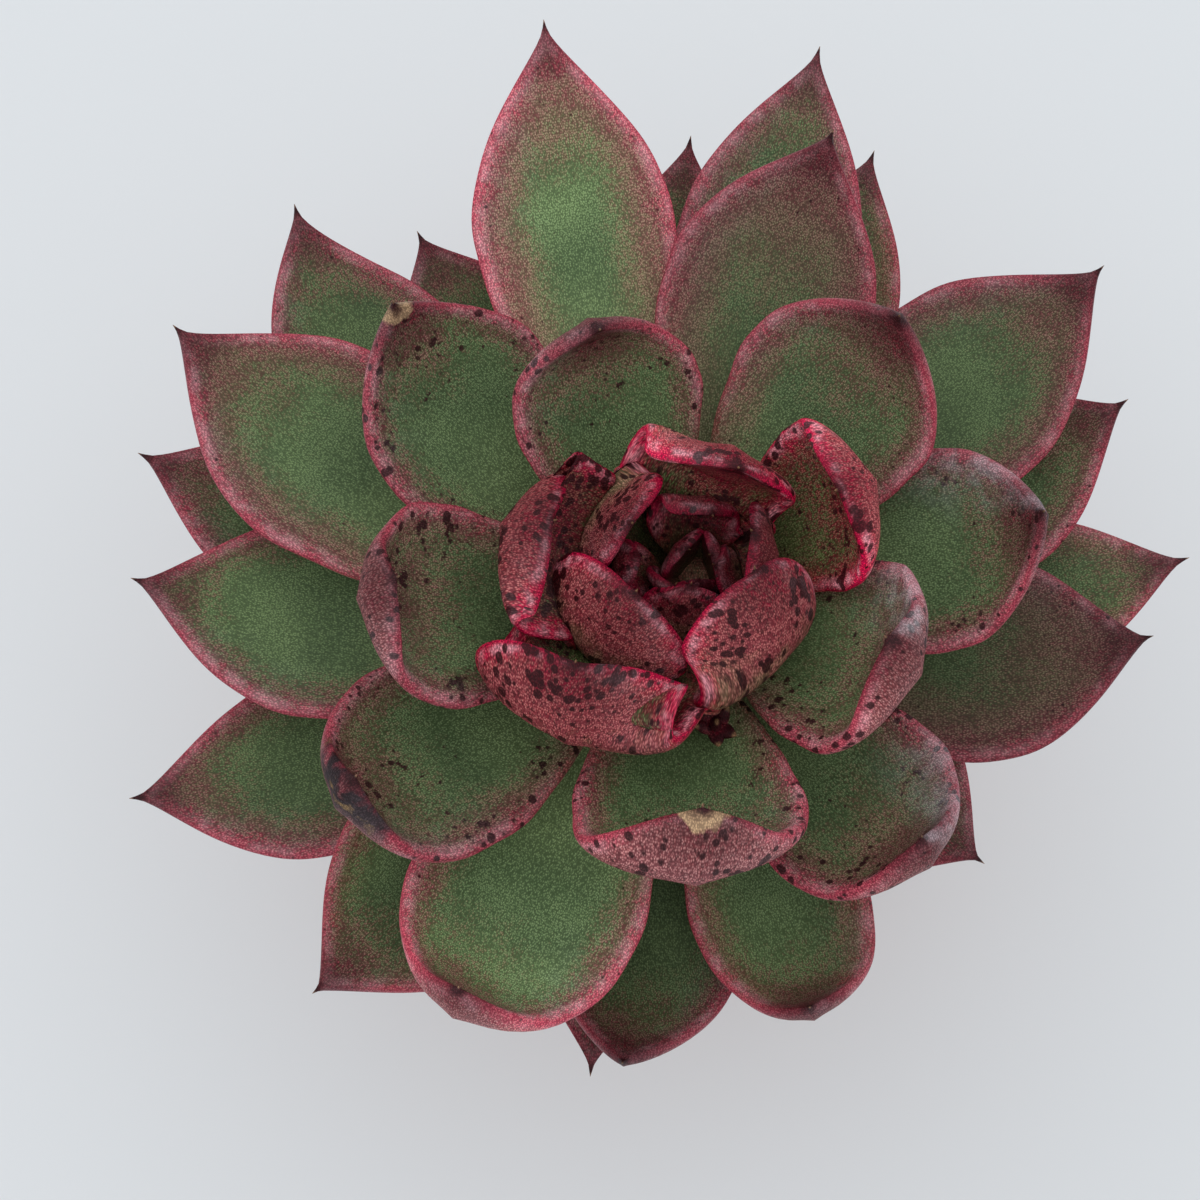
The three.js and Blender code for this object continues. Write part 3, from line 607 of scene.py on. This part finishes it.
def leafFace(add, look, at):
    # inner face: red margin, brown where red and green cells mix, then green
    lush = add("MapRange", {1: 0.38, 2: 0.62}, {0: at.drift})
    green = add("Mix",
                {"data_type": "RGBA", 6: linear(look["greenShade"]), 7: linear(look["green"])},
                {0: lush})
    reddening = add("ValToRGB",
                    {"stops": [(0.0, look["rimRed"]), (0.16, look["wineRed"]),
                               (0.42, look["mauveBrown"]), (0.8, look["oliveBrown"])]},
                    {0: at.depth})
    inGreen = add("MapRange", {"interpolation_type": "SMOOTHSTEP", 1: 0.62, 2: 1.05}, {0: at.depth})
    face = add("Mix", {"data_type": "RGBA"}, {0: inGreen, 6: reddening, 7: green})
    toBase = add("MapRange", {1: 0.55, 2: 0.15, 3: 0, 4: 0.7}, {0: at.share})
    paleCells = add("Math", {"operation": "MULTIPLY", 1: look["faceStipple"]}, {0: at.glow})
    for factor, colour in ((toBase, "baseGreen"), (at.yellow, "yellow"), (paleCells, "paleGreenCell")):
        face = add("Mix", {"data_type": "RGBA", 7: linear(look[colour])}, {0: factor, 6: face})
    return face


def leafBack(add, look, at):
    # back: rose to mauve, greyish green towards the root
    back = add("ValToRGB",
               {"stops": [(0.0, look["rimRed"]), (0.2, look["backRose"]),
                          (0.6, look["backMauve"])]}, {0: at.depth})
    upBack = add("Math", {"operation": "MULTIPLY_ADD", 1: 0.4}, {0: at.mottle, 2: at.share})
    rosy = add("MapRange", {"interpolation_type": "SMOOTHSTEP", 1: 0.62, 2: 0.94}, {0: upBack})
    back = add("Mix", {"data_type": "RGBA", 6: linear(look["backGrey"])}, {0: rosy, 7: back})
    paleCells = add("Math", {"operation": "MULTIPLY", 1: look["backStipple"]}, {0: at.glow})
    return add("Mix", {"data_type": "RGBA", 7: linear(look["paleCell"])}, {0: paleCells, 6: back})


def leafMargin(add, look, at):
    # the very margin is clear red whatever lies beside it, has painted glints of light cell by
    # cell, and a patchy pink painted highlight along its crest
    ragged = add("Math", {"operation": "MULTIPLY_ADD", 1: 1.1}, {0: at.chance, 2: at.fromRim})
    edge = add("MapRange",
               {"interpolation_type": "SMOOTHSTEP", 1: look["marginWidth"], 2: 0.5, 3: 0, 4: 0.92},
               {0: ragged})
    upLeaf = add("MapRange", {1: 0.3, 2: 0.55}, {0: at.share})
    edge = add("Math", {"operation": "MULTIPLY"}, {0: edge, 1: upLeaf})
    red = add("MapRange", {1: 1.0, 2: 0.1, 3: 0, 4: 0.22}, {0: at.depth})
    glint = add("Math", {"operation": "MULTIPLY"}, {0: at.glow, 1: red})
    paintedCrestHighlight = add("MapRange", {1: 0.42, 2: 0.62, 3: 0.1, 4: look["paintedCrestHighlight"]}, {0: at.mottle})
    rise = add("MapRange", {"interpolation_type": "SMOOTHSTEP", 1: 0.1, 2: 0.8}, {0: at.fromRim})
    fall = add("MapRange", {"interpolation_type": "SMOOTHSTEP", 1: 2.3, 2: 0.9}, {0: at.fromRim})
    for part in (rise, fall, upLeaf):
        paintedCrestHighlight = add("Math", {"operation": "MULTIPLY"}, {0: paintedCrestHighlight, 1: part})
    return [(edge, "rimRed"), (glint, "paleCell"), (paintedCrestHighlight, "paintedHighlightPink")]


def leafFlecks(add, look, at):
    # dark flecks in drifts, thickest on the backs, near the margin and the tip, and single
    # dark cells among them
    flecks = add("TexVoronoi", {"Scale": 1 / look["spotSize"], "Randomness": 1},
                 {"Vector": at.blade})
    clumps = add("TexNoise", {"Scale": 1 / look["clumpSize"], "Detail": 2, "Distortion": 0.8},
                 {"Vector": at.blade})
    crowd = add("MapRange", {"clamp": False, 1: 0.38, 2: 0.6, 3: 0.02, 4: 0.5}, {0: clumps})
    reddened = add("MapRange", {1: 1.5, 2: 0.3}, {0: at.depth})
    behind = add("MapRange", {1: 0.2, 2: -0.6}, {0: at.rim})
    dark = add("Math", {"operation": "MAXIMUM"}, {0: reddened, 1: behind})
    dark = add("Math", {"operation": "MULTIPLY"}, {0: dark, 1: at.spots})
    crowd = add("Math", {"operation": "MULTIPLY"}, {0: crowd, 1: dark})
    past = add("Math", {"operation": "SUBTRACT"}, {0: flecks.outputs["Distance"], 1: crowd})
    fleck = add("MapRange", {1: 0.05, 2: -0.06, 3: 0, 4: 0.92}, {0: past})
    light = add("MapRange", {1: 0.86, 2: 0.8, 3: 0, 4: 0.6}, {0: at.chance.outputs[2]})
    pepper = add("Math", {"operation": "SUBTRACT", 0: 0.6}, {1: light})
    pepper = add("Math", {"operation": "MULTIPLY"}, {0: pepper, 1: dark})
    return [(fleck, "spot"), (pepper, "spot")]


def leafBlemishes(add, at, chalk):
    # dark smudge towards the point, bruise with a dry crust in it, chalky bloom, torn dry
    # scar, and the hard dark point itself
    ragged = add("Math", {"operation": "MULTIPLY_ADD", 1: 3.0}, {0: at.mottle, 2: at.tip})
    smudge = add("MapRange", {1: 9.5, 2: 4.2, 3: 0, 4: 0.66}, {0: ragged})
    sunk = add("MapRange", {1: 0.36, 2: 0.5}, {0: at.mottle})
    sunk = add("Math", {"operation": "MULTIPLY"}, {0: sunk, 1: at.bruise})
    crust = add("MapRange", {1: 0.6, 2: 0.68}, {0: at.mottle})
    crust = add("Math", {"operation": "MULTIPLY"}, {0: crust, 1: at.bruise})
    torn = add("MapRange", {1: 4.3, 2: 3.9}, {0: ragged})
    torn = add("Math", {"operation": "MULTIPLY"}, {0: torn, 1: at.scar})
    hard = add("MapRange", {"interpolation_type": "SMOOTHSTEP", 1: 3.6, 2: 2.2}, {0: ragged})
    dryEnd = add("MapRange", {1: 0.5, 2: 0.2, 3: 0, 4: 0.7}, {0: at.tip})
    return [(smudge, "spot"), (sunk, "bruise"), (crust, "crust"), (chalk, "bloom"),
            (torn, "scarTan"), (hard, "spike"), (dryEnd, "spikeEnd")]


def makeLeafSkin(name, look):
    material, add = newMaterial(name)
    at = leafFields(add, look)
    onFace = add("MapRange", {"interpolation_type": "SMOOTHSTEP", 1: -0.5, 2: 0.3}, {0: at.rim})
    surface = add("Mix", {"data_type": "RGBA"},
                  {0: onFace, 6: leafBack(add, look, at), 7: leafFace(add, look, at)})
    dusty = add("MapRange", {1: 0.4, 2: 0.62, 3: 0.2, 4: 1}, {0: at.mottle})
    chalk = add("Math", {"operation": "MULTIPLY"}, {0: dusty, 1: at.bloom})
    coats = leafMargin(add, look, at) + leafFlecks(add, look, at) + leafBlemishes(add, at, chalk)
    for factor, colour in coats:
        surface = add("Mix", {"data_type": "RGBA", 7: linear(look[colour])},
                      {0: factor, 6: surface})

    # painted shade and light: the gaps between the cells are shaded, their tops lit, and the roots of
    # the youngest leaves shaded
    shade = add("MapRange", {3: look["gapShade"], 4: look["crownShade"]}, {0: at.crown})
    deep = add("MapRange", {1: 0.3, 2: 0.75, 3: look["rootShade"], 4: 1}, {0: at.share})
    # painted light and shade: each whole leaf is drawn lighter or darker for how light falls on it
    for part in (at.tone, deep):
        shade = add("Math", {"operation": "MULTIPLY"}, {0: shade, 1: part})
    surface = add("HueSaturation", {"Saturation": look["richness"]},
                  {"Value": shade, "Color": surface})

    height = add("Math", {"operation": "MULTIPLY_ADD", 1: 1.6}, {0: at.mottle, 2: at.crown})
    bump = add("Bump", {"Strength": 1, "Distance": look["cellHeight"] * mm}, {"Height": height})
    rough = add("Math", {"operation": "MULTIPLY_ADD", 1: -0.14, 2: look["roughness"] + 0.07},
                {0: at.glow})
    rough = add("Math", {"operation": "MULTIPLY_ADD", 1: 0.3}, {0: chalk, 2: rough})
    shader = add("BsdfPrincipled", {"IOR": look["waxIor"], "Specular IOR Level": look["waxShine"]},
                 {"Base Color": surface, "Roughness": rough, "Normal": bump})
    add("OutputMaterial", links={0: shader})
    return material


leafMaterial = makeLeafSkin("waxyLeafSkin", leafSkin)
# young leaves: a stronger painted highlight along the margin and painted shade at their roots
youngSkin = dict(leafSkin, rimRed="#c81a4a", wineRed="#a02644", mauveBrown="#7e2f36",
                 oliveBrown="#5f4034", green="#566439", greenShade="#46532f", baseGreen="#868a5a",
                 backRose="#b04a54", backMauve="#9a4850", backGrey="#968c68", paleCell="#d69c92",
                 driftSize=7, mottleSize=1.4, spotSize=0.95, backStipple=0.5, marginWidth=3.4,
                 paintedCrestHighlight=0.95, richness=1.08, rootShade=0.45)
youngMaterial = makeLeafSkin("waxyYoungLeafSkin", youngSkin)
print("leaf skins made")


def growLeaves():
    origin = np.array(plant["origin"])
    heartParts, grown = [], []
    for leaf in leaves:
        inHeart = leaf["rank"] <= lastHeartRank
        size = ("heartRings", "heartSides") if inHeart else ("rings", "sides")
        points, faces, attributes = leafBody(leaf, leafShape[size[0]], leafShape[size[1]])
        for younger in grown:
            points = pressUnder(points, attributes["rim"], attributes["share"], younger)
        grown.append(leaf)
        part = (points + origin, faces, attributes, 0)
        if inHeart:
            heartParts.append(part)
        else:
            skin = youngMaterial if leaf["rank"] <= lastYoungRank else leafMaterial
            makePiece("leaf%d" % leaf["rank"], [part], [skin], ["leaf_%d" % leaf["rank"]])
    heartParts.append(growCore())
    makePiece("heartLeaves", heartParts, [youngMaterial], ["heart"])


def stemRadius(height):
    # the leaf roots are set a little into this radius
    low, high = plant["lowestRoot"], plant["highestRoot"]
    below = np.clip((high - height) / (high - low), 0, 1)
    spreading = rootRadius(below ** (1 / plant["rootSpacing"]))
    neck = plant["neckRadius"] + (plant["oldestRootRadius"] - plant["neckRadius"]) * np.clip(
        height / low, 0, 1)
    return np.where(height < low, neck, spreading) + plant["rootSeat"]


def growCore():
    # the growing tip, a small cone between the youngest leaves
    heights = np.linspace(plant["coreFoot"], plant["crownHeight"], 16)
    ring = circle(28)[1]
    rings = stemAxis(heights)[:, None] + ring * stemRadius(heights)[:, None, None]
    top = stemAxis(plant["crownHeight"] + 1)
    points, faces = skinOverRings(rings, stemAxis(heights[0]), top)
    values = skinValues(points, -2, 9, 0.5, nature=(0.6, 5, 0))
    return points + np.array(plant["origin"]), faces, values, 0


growLeaves()
print("leaves grown:", len(leaves))


# offset: a tiny side shoot that looks out over the inside of a leaf

offset = {
    "end": (4.8, -15.5, 28.5),      # mm from where the stem leaves the soil
    "rootHeight": 22.5,
    "stalkRadius": 0.9,
    "leafCount": 7,
    "leafLength": 3.2,
    "leafRadius": 0.8,
    "point": 0.55,                  # share of a leaf that narrows to its tip
}


def growOffset():
    origin = np.array(plant["origin"])
    end, start = np.array(offset["end"], float), stemAxis(offset["rootHeight"])
    outward = (end - start) * (1, 1, 0)
    outward /= np.linalg.norm(outward)
    start = start + outward * (stemRadius(offset["rootHeight"]) + 0.3)
    bend = (start + end) / 2 + (0, 0, 1)
    t = np.linspace(0, 1, 24)[:, None]
    middle, along = alongCurve((start, bend, end), t), alongCurve((bend - start, end - bend), t)
    along /= np.linalg.norm(along, axis=1)[:, None]
    side = np.cross((0, 0, 1), outward) + 0 * along
    inward = np.cross(along, side)
    ring = circle(18)[1]
    radius = offset["stalkRadius"] * (1 - 0.15 * t)
    rings = middle[:, None] + radius[:, None] * (
        ring[:, :1] * side[:, None] + ring[:, 1:2] * inward[:, None])
    points, faces = skinOverRings(rings, start, end)
    values = skinValues(points, -2, 9, 0.2, nature=(0.4, 5, 0))
    parts = [(points + origin, faces, values, 0)]
    # its leaves are one small blade, tilted and turned round the end of the stalk
    s, length = np.linspace(0.01, 0.995, 22)[:, None], offset["leafLength"]
    pointed = np.where(s < 1 - offset["point"], 1, np.cos(
        (s - 1 + offset["point"]) / offset["point"] * math.pi / 2) ** 0.8)
    fat = offset["leafRadius"] * np.sqrt(np.minimum(1, s * 4)) * pointed
    ring = circle(16)[1]
    blade = ring * fat[..., None] * (0.7, 1, 0) + (s[..., None] - 0.1) * length * (0, 0, 1)
    blade, faces = skinOverRings(blade, (0, 0, -0.1 * length), (0, 0, 0.9 * length))
    tip = np.concatenate([np.repeat((1 - s[:, 0]) * length, 16), [length, 0]])
    for i in range(offset["leafCount"]):
        tilt = 0 if i == 0 else math.radians(42 + 5 * (i % 3))
        around = math.radians(plant["goldenAngle"] * i)
        turned = np.array(Matrix.Rotation(around, 3, "Z") @ Matrix.Rotation(tilt, 3, "Y"))
        points = blade @ turned.T + end
        values = skinValues(points, -2, tip, 0.8, nature=(0.8, 3, 0))
        parts.append((points + origin, faces, values, 0))
    makePiece("sideShoot", parts, [youngMaterial], ["offset"])


growOffset()
print("side shoot grown")


# stem

# Stem bark: an old echeveria stem, dry corky skin with a scar where each lost leaf sat,
# which gives the eye grey-brown cork crossed by paler crescent ridges.
stem = {
    "depth": 22,            # mm of it in the soil
    "top": 24,
    "footRadius": 4.8,
    "barkInset": 0.42,      # mm that the bark lies inside the solid's skin
    "barkHeight": 0.07,     # mm that it strays in and out
    "scarCount": 30,
    "youngestScar": 48,     # rank of the last leaf that was lost
    "firstScar": 0.6,       # mm over the soil
    "scarRise": 0.24,       # mm from one scar up to the next
    "scarDip": 1.1,         # mm that a scar sags in the middle
    "scarHeight": 0.3,
    "rings": 150,
    "sides": 120,
    "corkyBark": {
        "colours": [(0.36, "#463723"), (0.6, "#7d6a4c"), (0.85, "#a89272")],
        "scarred": "#a89272",
        "grain": 1.6,       # mm across a flake of cork
        "detail": 5,
        "strength": 0.8,
        "relief": 0.4,
        "roughness": 0.88,
        "ior": 1.45,
    },
}


def makeDryStuff(name, look):
    # a matt crumbly material: one noise gives its colour and its relief, in mm
    material, add = newMaterial(name)
    place = add("Attribute", {"attribute_name": "place"}).outputs["Vector"]
    grain = add("TexNoise", {"Scale": 1 / look["grain"], "Detail": look["detail"]},
                {"Vector": place})
    colour = add("ValToRGB", {"stops": look["colours"]}, {0: grain})
    if "scarred" in look:
        scar = add("Attribute", {"attribute_name": "scar"}).outputs["Fac"]
        colour = add("Mix", {"data_type": "RGBA", 7: linear(look["scarred"])}, {0: scar, 6: colour})
    bump = add("Bump", {"Strength": look["strength"], "Distance": look["relief"] * mm},
               {"Height": grain})
    shader = add("BsdfPrincipled", {"Roughness": look["roughness"], "IOR": look["ior"]},
                 {"Base Color": colour, "Normal": bump})
    add("OutputMaterial", links={0: shader})
    return material


def growStem():
    heights = np.linspace(-stem["depth"], stem["top"], stem["rings"])
    turn, ring = circle(stem["sides"])
    up = heights[:, None]
    foot = stem["footRadius"] * (1 + 0.3 * np.minimum(0, heights) / stem["depth"])
    radius = np.where(heights < 0, foot, stemRadius(np.maximum(0, heights)))[:, None] + 0 * turn
    scar = 0 * radius
    # a crescent ridge under each place where a leaf sat, down the same spiral
    for i in range(stem["scarCount"]):
        rank = stem["youngestScar"] + stem["scarCount"] - i
        around = math.radians(plant["firstAzimuth"] - plant["goldenAngle"] * rank)
        off = (turn - around + math.pi) % (2 * math.pi) - math.pi
        middle = stem["firstScar"] + i * stem["scarRise"] - stem["scarDip"] * (1 - (off / 0.5) ** 2)
        scar = np.maximum(scar, np.exp(-((up - middle) / 0.28) ** 2) * (np.abs(off) < 0.55))
    rough = sum(rng.uniform(0.3, 1) * np.sin(
        k * turn + rng.uniform(0, 6) + up * rng.uniform(0.2, 1.1)) for k in (3, 5, 8, 13, 21))
    radius = radius - stem["barkInset"] + stem["scarHeight"] * scar + stem["barkHeight"] * rough
    rings = stemAxis(heights)[:, None] + ring * radius[..., None]
    points, faces = skinOverRings(rings, stemAxis(heights[0]), stemAxis(heights[-1]))
    values = {"place": points, "scar": np.concatenate([scar.ravel(), [0, 0]])}
    makePiece("stemWood", [(points + np.array(plant["origin"]), faces, values, 0)],
              [makeDryStuff("dryStemBark", stem["corkyBark"])], ["stem"])


growStem()
print("stem grown")


# soil: gritty succulent mix, filled to just under the rim

# Cactus soil: dark peat and loam with washed pumice and quartz grit in it, poured and
# watered in, which gives the eye matt dark crumbs with pale angular grains on them. The
# stones are broken and washed, so they are matt too, with fine pores.
soil = {
    "top": 59.5,            # mm over the foot of the pot
    "dome": 0.8,            # mm that the middle stands over the edge
    "radius": 29.3,
    "bottom": 5.3,
    "footRadius": 18.3,
    "crumbHeight": 0.45,
    "gritCount": 520,
    "gritSize": (0.8, 2.6), # mm
    "pumiceShare": 0.4,     # the rest of the stones are grit
    "roomForStem": 6.5,     # mm round the stem that stay free of grit
    "rings": 110,
    "sides": 220,
    "peat": {
        "colours": [(0.35, "#1f1711"), (0.52, "#3a2c21"), (0.72, "#5d4a38")],
        "grain": 1.3,       # mm across a crumb
        "detail": 6,
        "strength": 1,
        "relief": 0.5,
        "roughness": 0.95,
        "ior": 1.4,
    },
    "pumice": {
        "colours": [(0.38, "#857b6c"), (0.62, "#b9afa0")],
        "grain": 0.35,      # mm across a pore
        "detail": 4,
        "strength": 0.7,
        "relief": 0.15,
        "roughness": 0.9,
        "ior": 1.5,
    },
}
soil["grit"] = dict(soil["pumice"], colours=[(0.38, "#57504a"), (0.62, "#8c8378")])

# the ups and downs of its surface: height, two rates and two shifts of each wave
soilWaves = [(0.45 / (1 + 0.4 * k), rng.uniform(0.5, 1.2) * (1 + k),
              rng.uniform(-1.2, 1.2) * (1 + k), rng.uniform(0, 6), rng.uniform(0, 6))
             for k in range(5)]


def soilHeight(x, y):
    # crumbs laid over a low dome
    away = np.hypot(x, y) / soil["radius"]
    bumps = sum(a * np.sin(x * fx + y * fy + p) * np.sin(x * fy - y * fx + q)
                for a, fx, fy, p, q in soilWaves)
    return soil["top"] - soil["dome"] * away ** 2 - soil["crumbHeight"] * (1 + bumps)


def ballShape():
    # corners and faces of a ball of radius 1, made of small triangles
    ball = bmesh.new()
    bmesh.ops.create_icosphere(ball, subdivisions=2, radius=1)
    ball.verts.index_update()
    corners = np.array([corner.co for corner in ball.verts])
    faces = [tuple(corner.index for corner in face.verts) for face in ball.faces]
    ball.free()
    return corners, faces


def breakStone(corners, size):
    # broken faces: the ball is cut by a few planes, then squashed and turned
    stone = corners.copy()
    for _ in range(7):
        normal = np.array([rng.gauss(0, 1) for _ in range(3)])
        normal /= np.linalg.norm(normal)
        past = stone @ normal - rng.uniform(0.62, 0.9)
        stone -= np.maximum(past, 0)[:, None] * normal
    stone *= [size * rng.uniform(low, high) for low, high in ((0.8, 1.2), (0.8, 1.1), (0.5, 0.8))]
    return stone @ np.array(Matrix.Rotation(rng.uniform(0, 6.28), 3, "Z")).T


def fillSoil():
    r = np.linspace(0.01, 1, soil["rings"])[::-1] * soil["radius"]
    ring = circle(soil["sides"])[1]
    top = ring * r[:, None, None]
    top[..., 2] = soilHeight(top[..., 0], top[..., 1])
    foot = ring * soil["footRadius"] + (0, 0, soil["bottom"])
    rings = np.concatenate([foot[None], top])
    body, faces = skinOverRings(rings, (0, 0, soil["bottom"]), (0, 0, soilHeight(0, 0)))
    parts = [(body, faces, {"place": body}, 0)]
    corners, faces = ballShape()
    low, high = soil["gritSize"]
    for _ in range(soil["gritCount"]):
        away, around = soil["radius"] * 0.97 * math.sqrt(rng.random()), rng.uniform(0, 2 * math.pi)
        x, y = away * math.cos(around), away * math.sin(around)
        if math.hypot(x - plant["origin"][0], y - plant["origin"][1]) < soil["roomForStem"]:
            continue
        size = (low + (high - low) * rng.random() ** 2.2) / 2
        if away + size > soil["radius"]:
            continue
        stone = breakStone(corners, size) + (x, y, float(soilHeight(x, y)) + size * 0.1)
        parts.append((stone, faces, {"place": stone}, 1 if rng.random() < soil["pumiceShare"] else 2))
    makePiece("pottingSoil", parts, [
        makeDryStuff("grittyPeatSoil", soil["peat"]), makeDryStuff("brokenPumice", soil["pumice"]),
        makeDryStuff("washedGrit", soil["grit"])], ["soil"])


fillSoil()
print("soil filled")


# pot

# Terracotta: red earthenware, pressed and turned in a mould, fired unglazed. It gives
# the eye a matt warm orange-brown with fine sandy specks, faint turning lines and a
# pale bloom of minerals where water has dried.
pot = {
    "height": 62,           # mm
    "profile": [            # radius and height in mm, and how far from each corner it is rounded
        (4.5, 0, 0.3), (21.2, 0, 0.3), (22, 0.8, 0.4), (31.3, 47, 0.5), (32.4, 47, 0.5),
        (33, 47.6, 0.4), (34, 60.8, 0.6), (33.3, 61.7, 0.4), (32.5, 62, 0.4), (31.2, 62, 0.4),
        (30.4, 61.2, 0.5), (18.8, 7, 0.9), (16.8, 5, 0.8), (4.5, 5, 0.3)],
    "stepLength": 0.9,      # mm between rings
    "sides": 220,
    "clay": "#b96f4e",
    "clayDark": "#9d5738",
    "clayPale": "#cb8a68",
    "mineral": "#d9c6b4",
    "sand": "#e0b090",
    "sandSize": 0.45,       # mm
    "driftSize": 9,
    "turningGap": 1.4,      # mm between turning lines
    "roughness": 0.85,
}


def makeTerracotta():
    material, add = newMaterial("unglazedTerracotta")
    place = add("Attribute", {"attribute_name": "place"}).outputs["Vector"]
    drift = add("TexNoise", {"Scale": 1 / pot["driftSize"], "Detail": 5, "Roughness": 0.6},
                {"Vector": place})
    clay = add("ValToRGB",
               {"stops": [(0.32, pot["clayDark"]), (0.5, pot["clay"]), (0.7, pot["clayPale"])]},
               {0: drift})
    # turning lines run level round the pot, so only the height counts much
    level = add("VectorMath", {"operation": "MULTIPLY", 1: (0.02, 0.02, 1 / pot["turningGap"])},
                {0: place})
    turning = add("TexNoise", {"Scale": 1, "Detail": 3}, {"Vector": level})
    specks = add("TexVoronoi", {"Scale": 1 / pot["sandSize"]}, {"Vector": place})
    speck = add("MapRange", {1: 0.3, 2: 0.12, 3: 0, 4: 0.5}, {0: specks.outputs["Distance"]})
    sandy = add("Mix", {"data_type": "RGBA", 7: linear(pot["sand"])}, {0: speck, 6: clay})
    # minerals dry out in cloudy bands under the rim and near the foot
    height = add("SeparateXYZ", links={0: place}).outputs[2]
    share = add("Math", {"operation": "DIVIDE", 1: pot["height"]}, {0: height})
    band = add("FloatCurve",
               {"curve": [(0, 0.75), (0.22, 0.15), (0.6, 0.08), (0.75, 0.6), (0.8, 0.1), (1, 0.5)]},
               {1: share})
    cloud = add("MapRange", {1: 0.46, 2: 0.7, 3: 0, 4: 0.55}, {0: drift})
    bloomed = add("Math", {"operation": "MULTIPLY"}, {0: band, 1: cloud})
    surface = add("Mix", {"data_type": "RGBA", 7: linear(pot["mineral"])}, {0: bloomed, 6: sandy})
    turned = add("Bump", {"Strength": 0.5, "Distance": 0.25 * mm}, {"Height": turning})
    bump = add("Bump", {"Strength": 0.5, "Distance": 0.1 * mm},
               {"Height": specks.outputs["Distance"], "Normal": turned})
    shader = add("BsdfPrincipled", {"Roughness": pot["roughness"], "IOR": 1.5},
                 {"Base Color": surface, "Normal": bump})
    add("OutputMaterial", links={0: shader})
    return material


def roundedProfile(corners, step):
    # the closed outline with each corner turned into a short arc, in steps of about step mm
    arcs, spots, t = [], np.array(corners), np.linspace(0, 1, 6)[:, None]
    for i, spot in enumerate(spots):
        here = spot[:2]
        back, on = spots[i - 1, :2] - here, spots[(i + 1) % len(spots), :2] - here
        toBack, toNext = np.linalg.norm(back), np.linalg.norm(on)
        cut = min(spot[2], 0.45 * toBack, 0.45 * toNext)
        a, b = here + back / toBack * cut, here + on / toNext * cut
        arcs.append(alongCurve((a, here, b), t))
    outline = []
    for arc, following in zip(arcs, arcs[1:] + arcs[:1]):
        run = following[0] - arc[-1]
        steps = int(np.linalg.norm(run) / step) + 1
        outline += list(arc) + [arc[-1] + run * k / steps for k in range(1, steps)]
    return np.array(outline)


def turnPot():
    outline = roundedProfile(pot["profile"], pot["stepLength"])
    points = circle(pot["sides"])[1] * outline[:, :1, None] + outline[:, 1:, None] * (0, 0, 1)
    points, faces = points.reshape(-1, 3), ringFaces(len(outline), pot["sides"], closed=True)
    makePiece("clayPot", [(points, faces, {"place": points}, 0)], [makeTerracotta()],
              ["pot"])


turnPot()
print("pot turned")


# floor and light

studio = {
    "floor": "#e2e6e9",
    "sky": "#f3f5f7",
    "skyStrength": 0.86,
    "keySize": 1.3,                 # m across the softbox
    "keyPower": 3.2,
    "keyPlace": (-0.1, 0.14, 1.0),  # m
    "keyAim": (0, 0, 0.08),
    "floorReach": 4,                # m from the middle to each side
}


def setStudio():
    # studio paper: smooth uncoated card, rolled, so it is even and without shine
    material, add = newMaterial("matteStudioPaper")
    shader = add("BsdfPrincipled",
                 {"Base Color": linear(studio["floor"]), "Roughness": 0.9,
                  "Specular IOR Level": 0.2})
    add("OutputMaterial", links={0: shader})
    mesh = bpy.data.meshes.new("floor")
    reach = studio["floorReach"]
    corners = [(x * reach, y * reach, 0) for x, y in ((-1, -1), (1, -1), (1, 1), (-1, 1))]
    mesh.from_pydata(corners, [], [(0, 1, 2, 3)])
    mesh.materials.append(material)
    floor = bpy.data.objects.new("floor", mesh)
    bpy.context.scene.collection.objects.link(floor)
    world = bpy.data.worlds.new("softSky")
    world.use_nodes = True
    world.node_tree.nodes.clear()
    sky = addNode(world.node_tree, "Background",
                  {"Color": linear(studio["sky"]), "Strength": studio["skyStrength"]})
    addNode(world.node_tree, "OutputWorld", links={0: sky})
    bpy.context.scene.world = world
    light = bpy.data.lights.new("softbox", "AREA")
    light.size, light.energy = studio["keySize"], studio["keyPower"]
    lamp = bpy.data.objects.new("softbox", light)
    bpy.context.scene.collection.objects.link(lamp)
    place = Vector(studio["keyPlace"])
    lamp.location = place
    lamp.rotation_mode = "QUATERNION"
    lamp.rotation_quaternion = (place - Vector(studio["keyAim"])).to_track_quat("Z", "Y")
    bpy.context.scene.view_settings.view_transform = "Standard"


setStudio()
print("studio set")
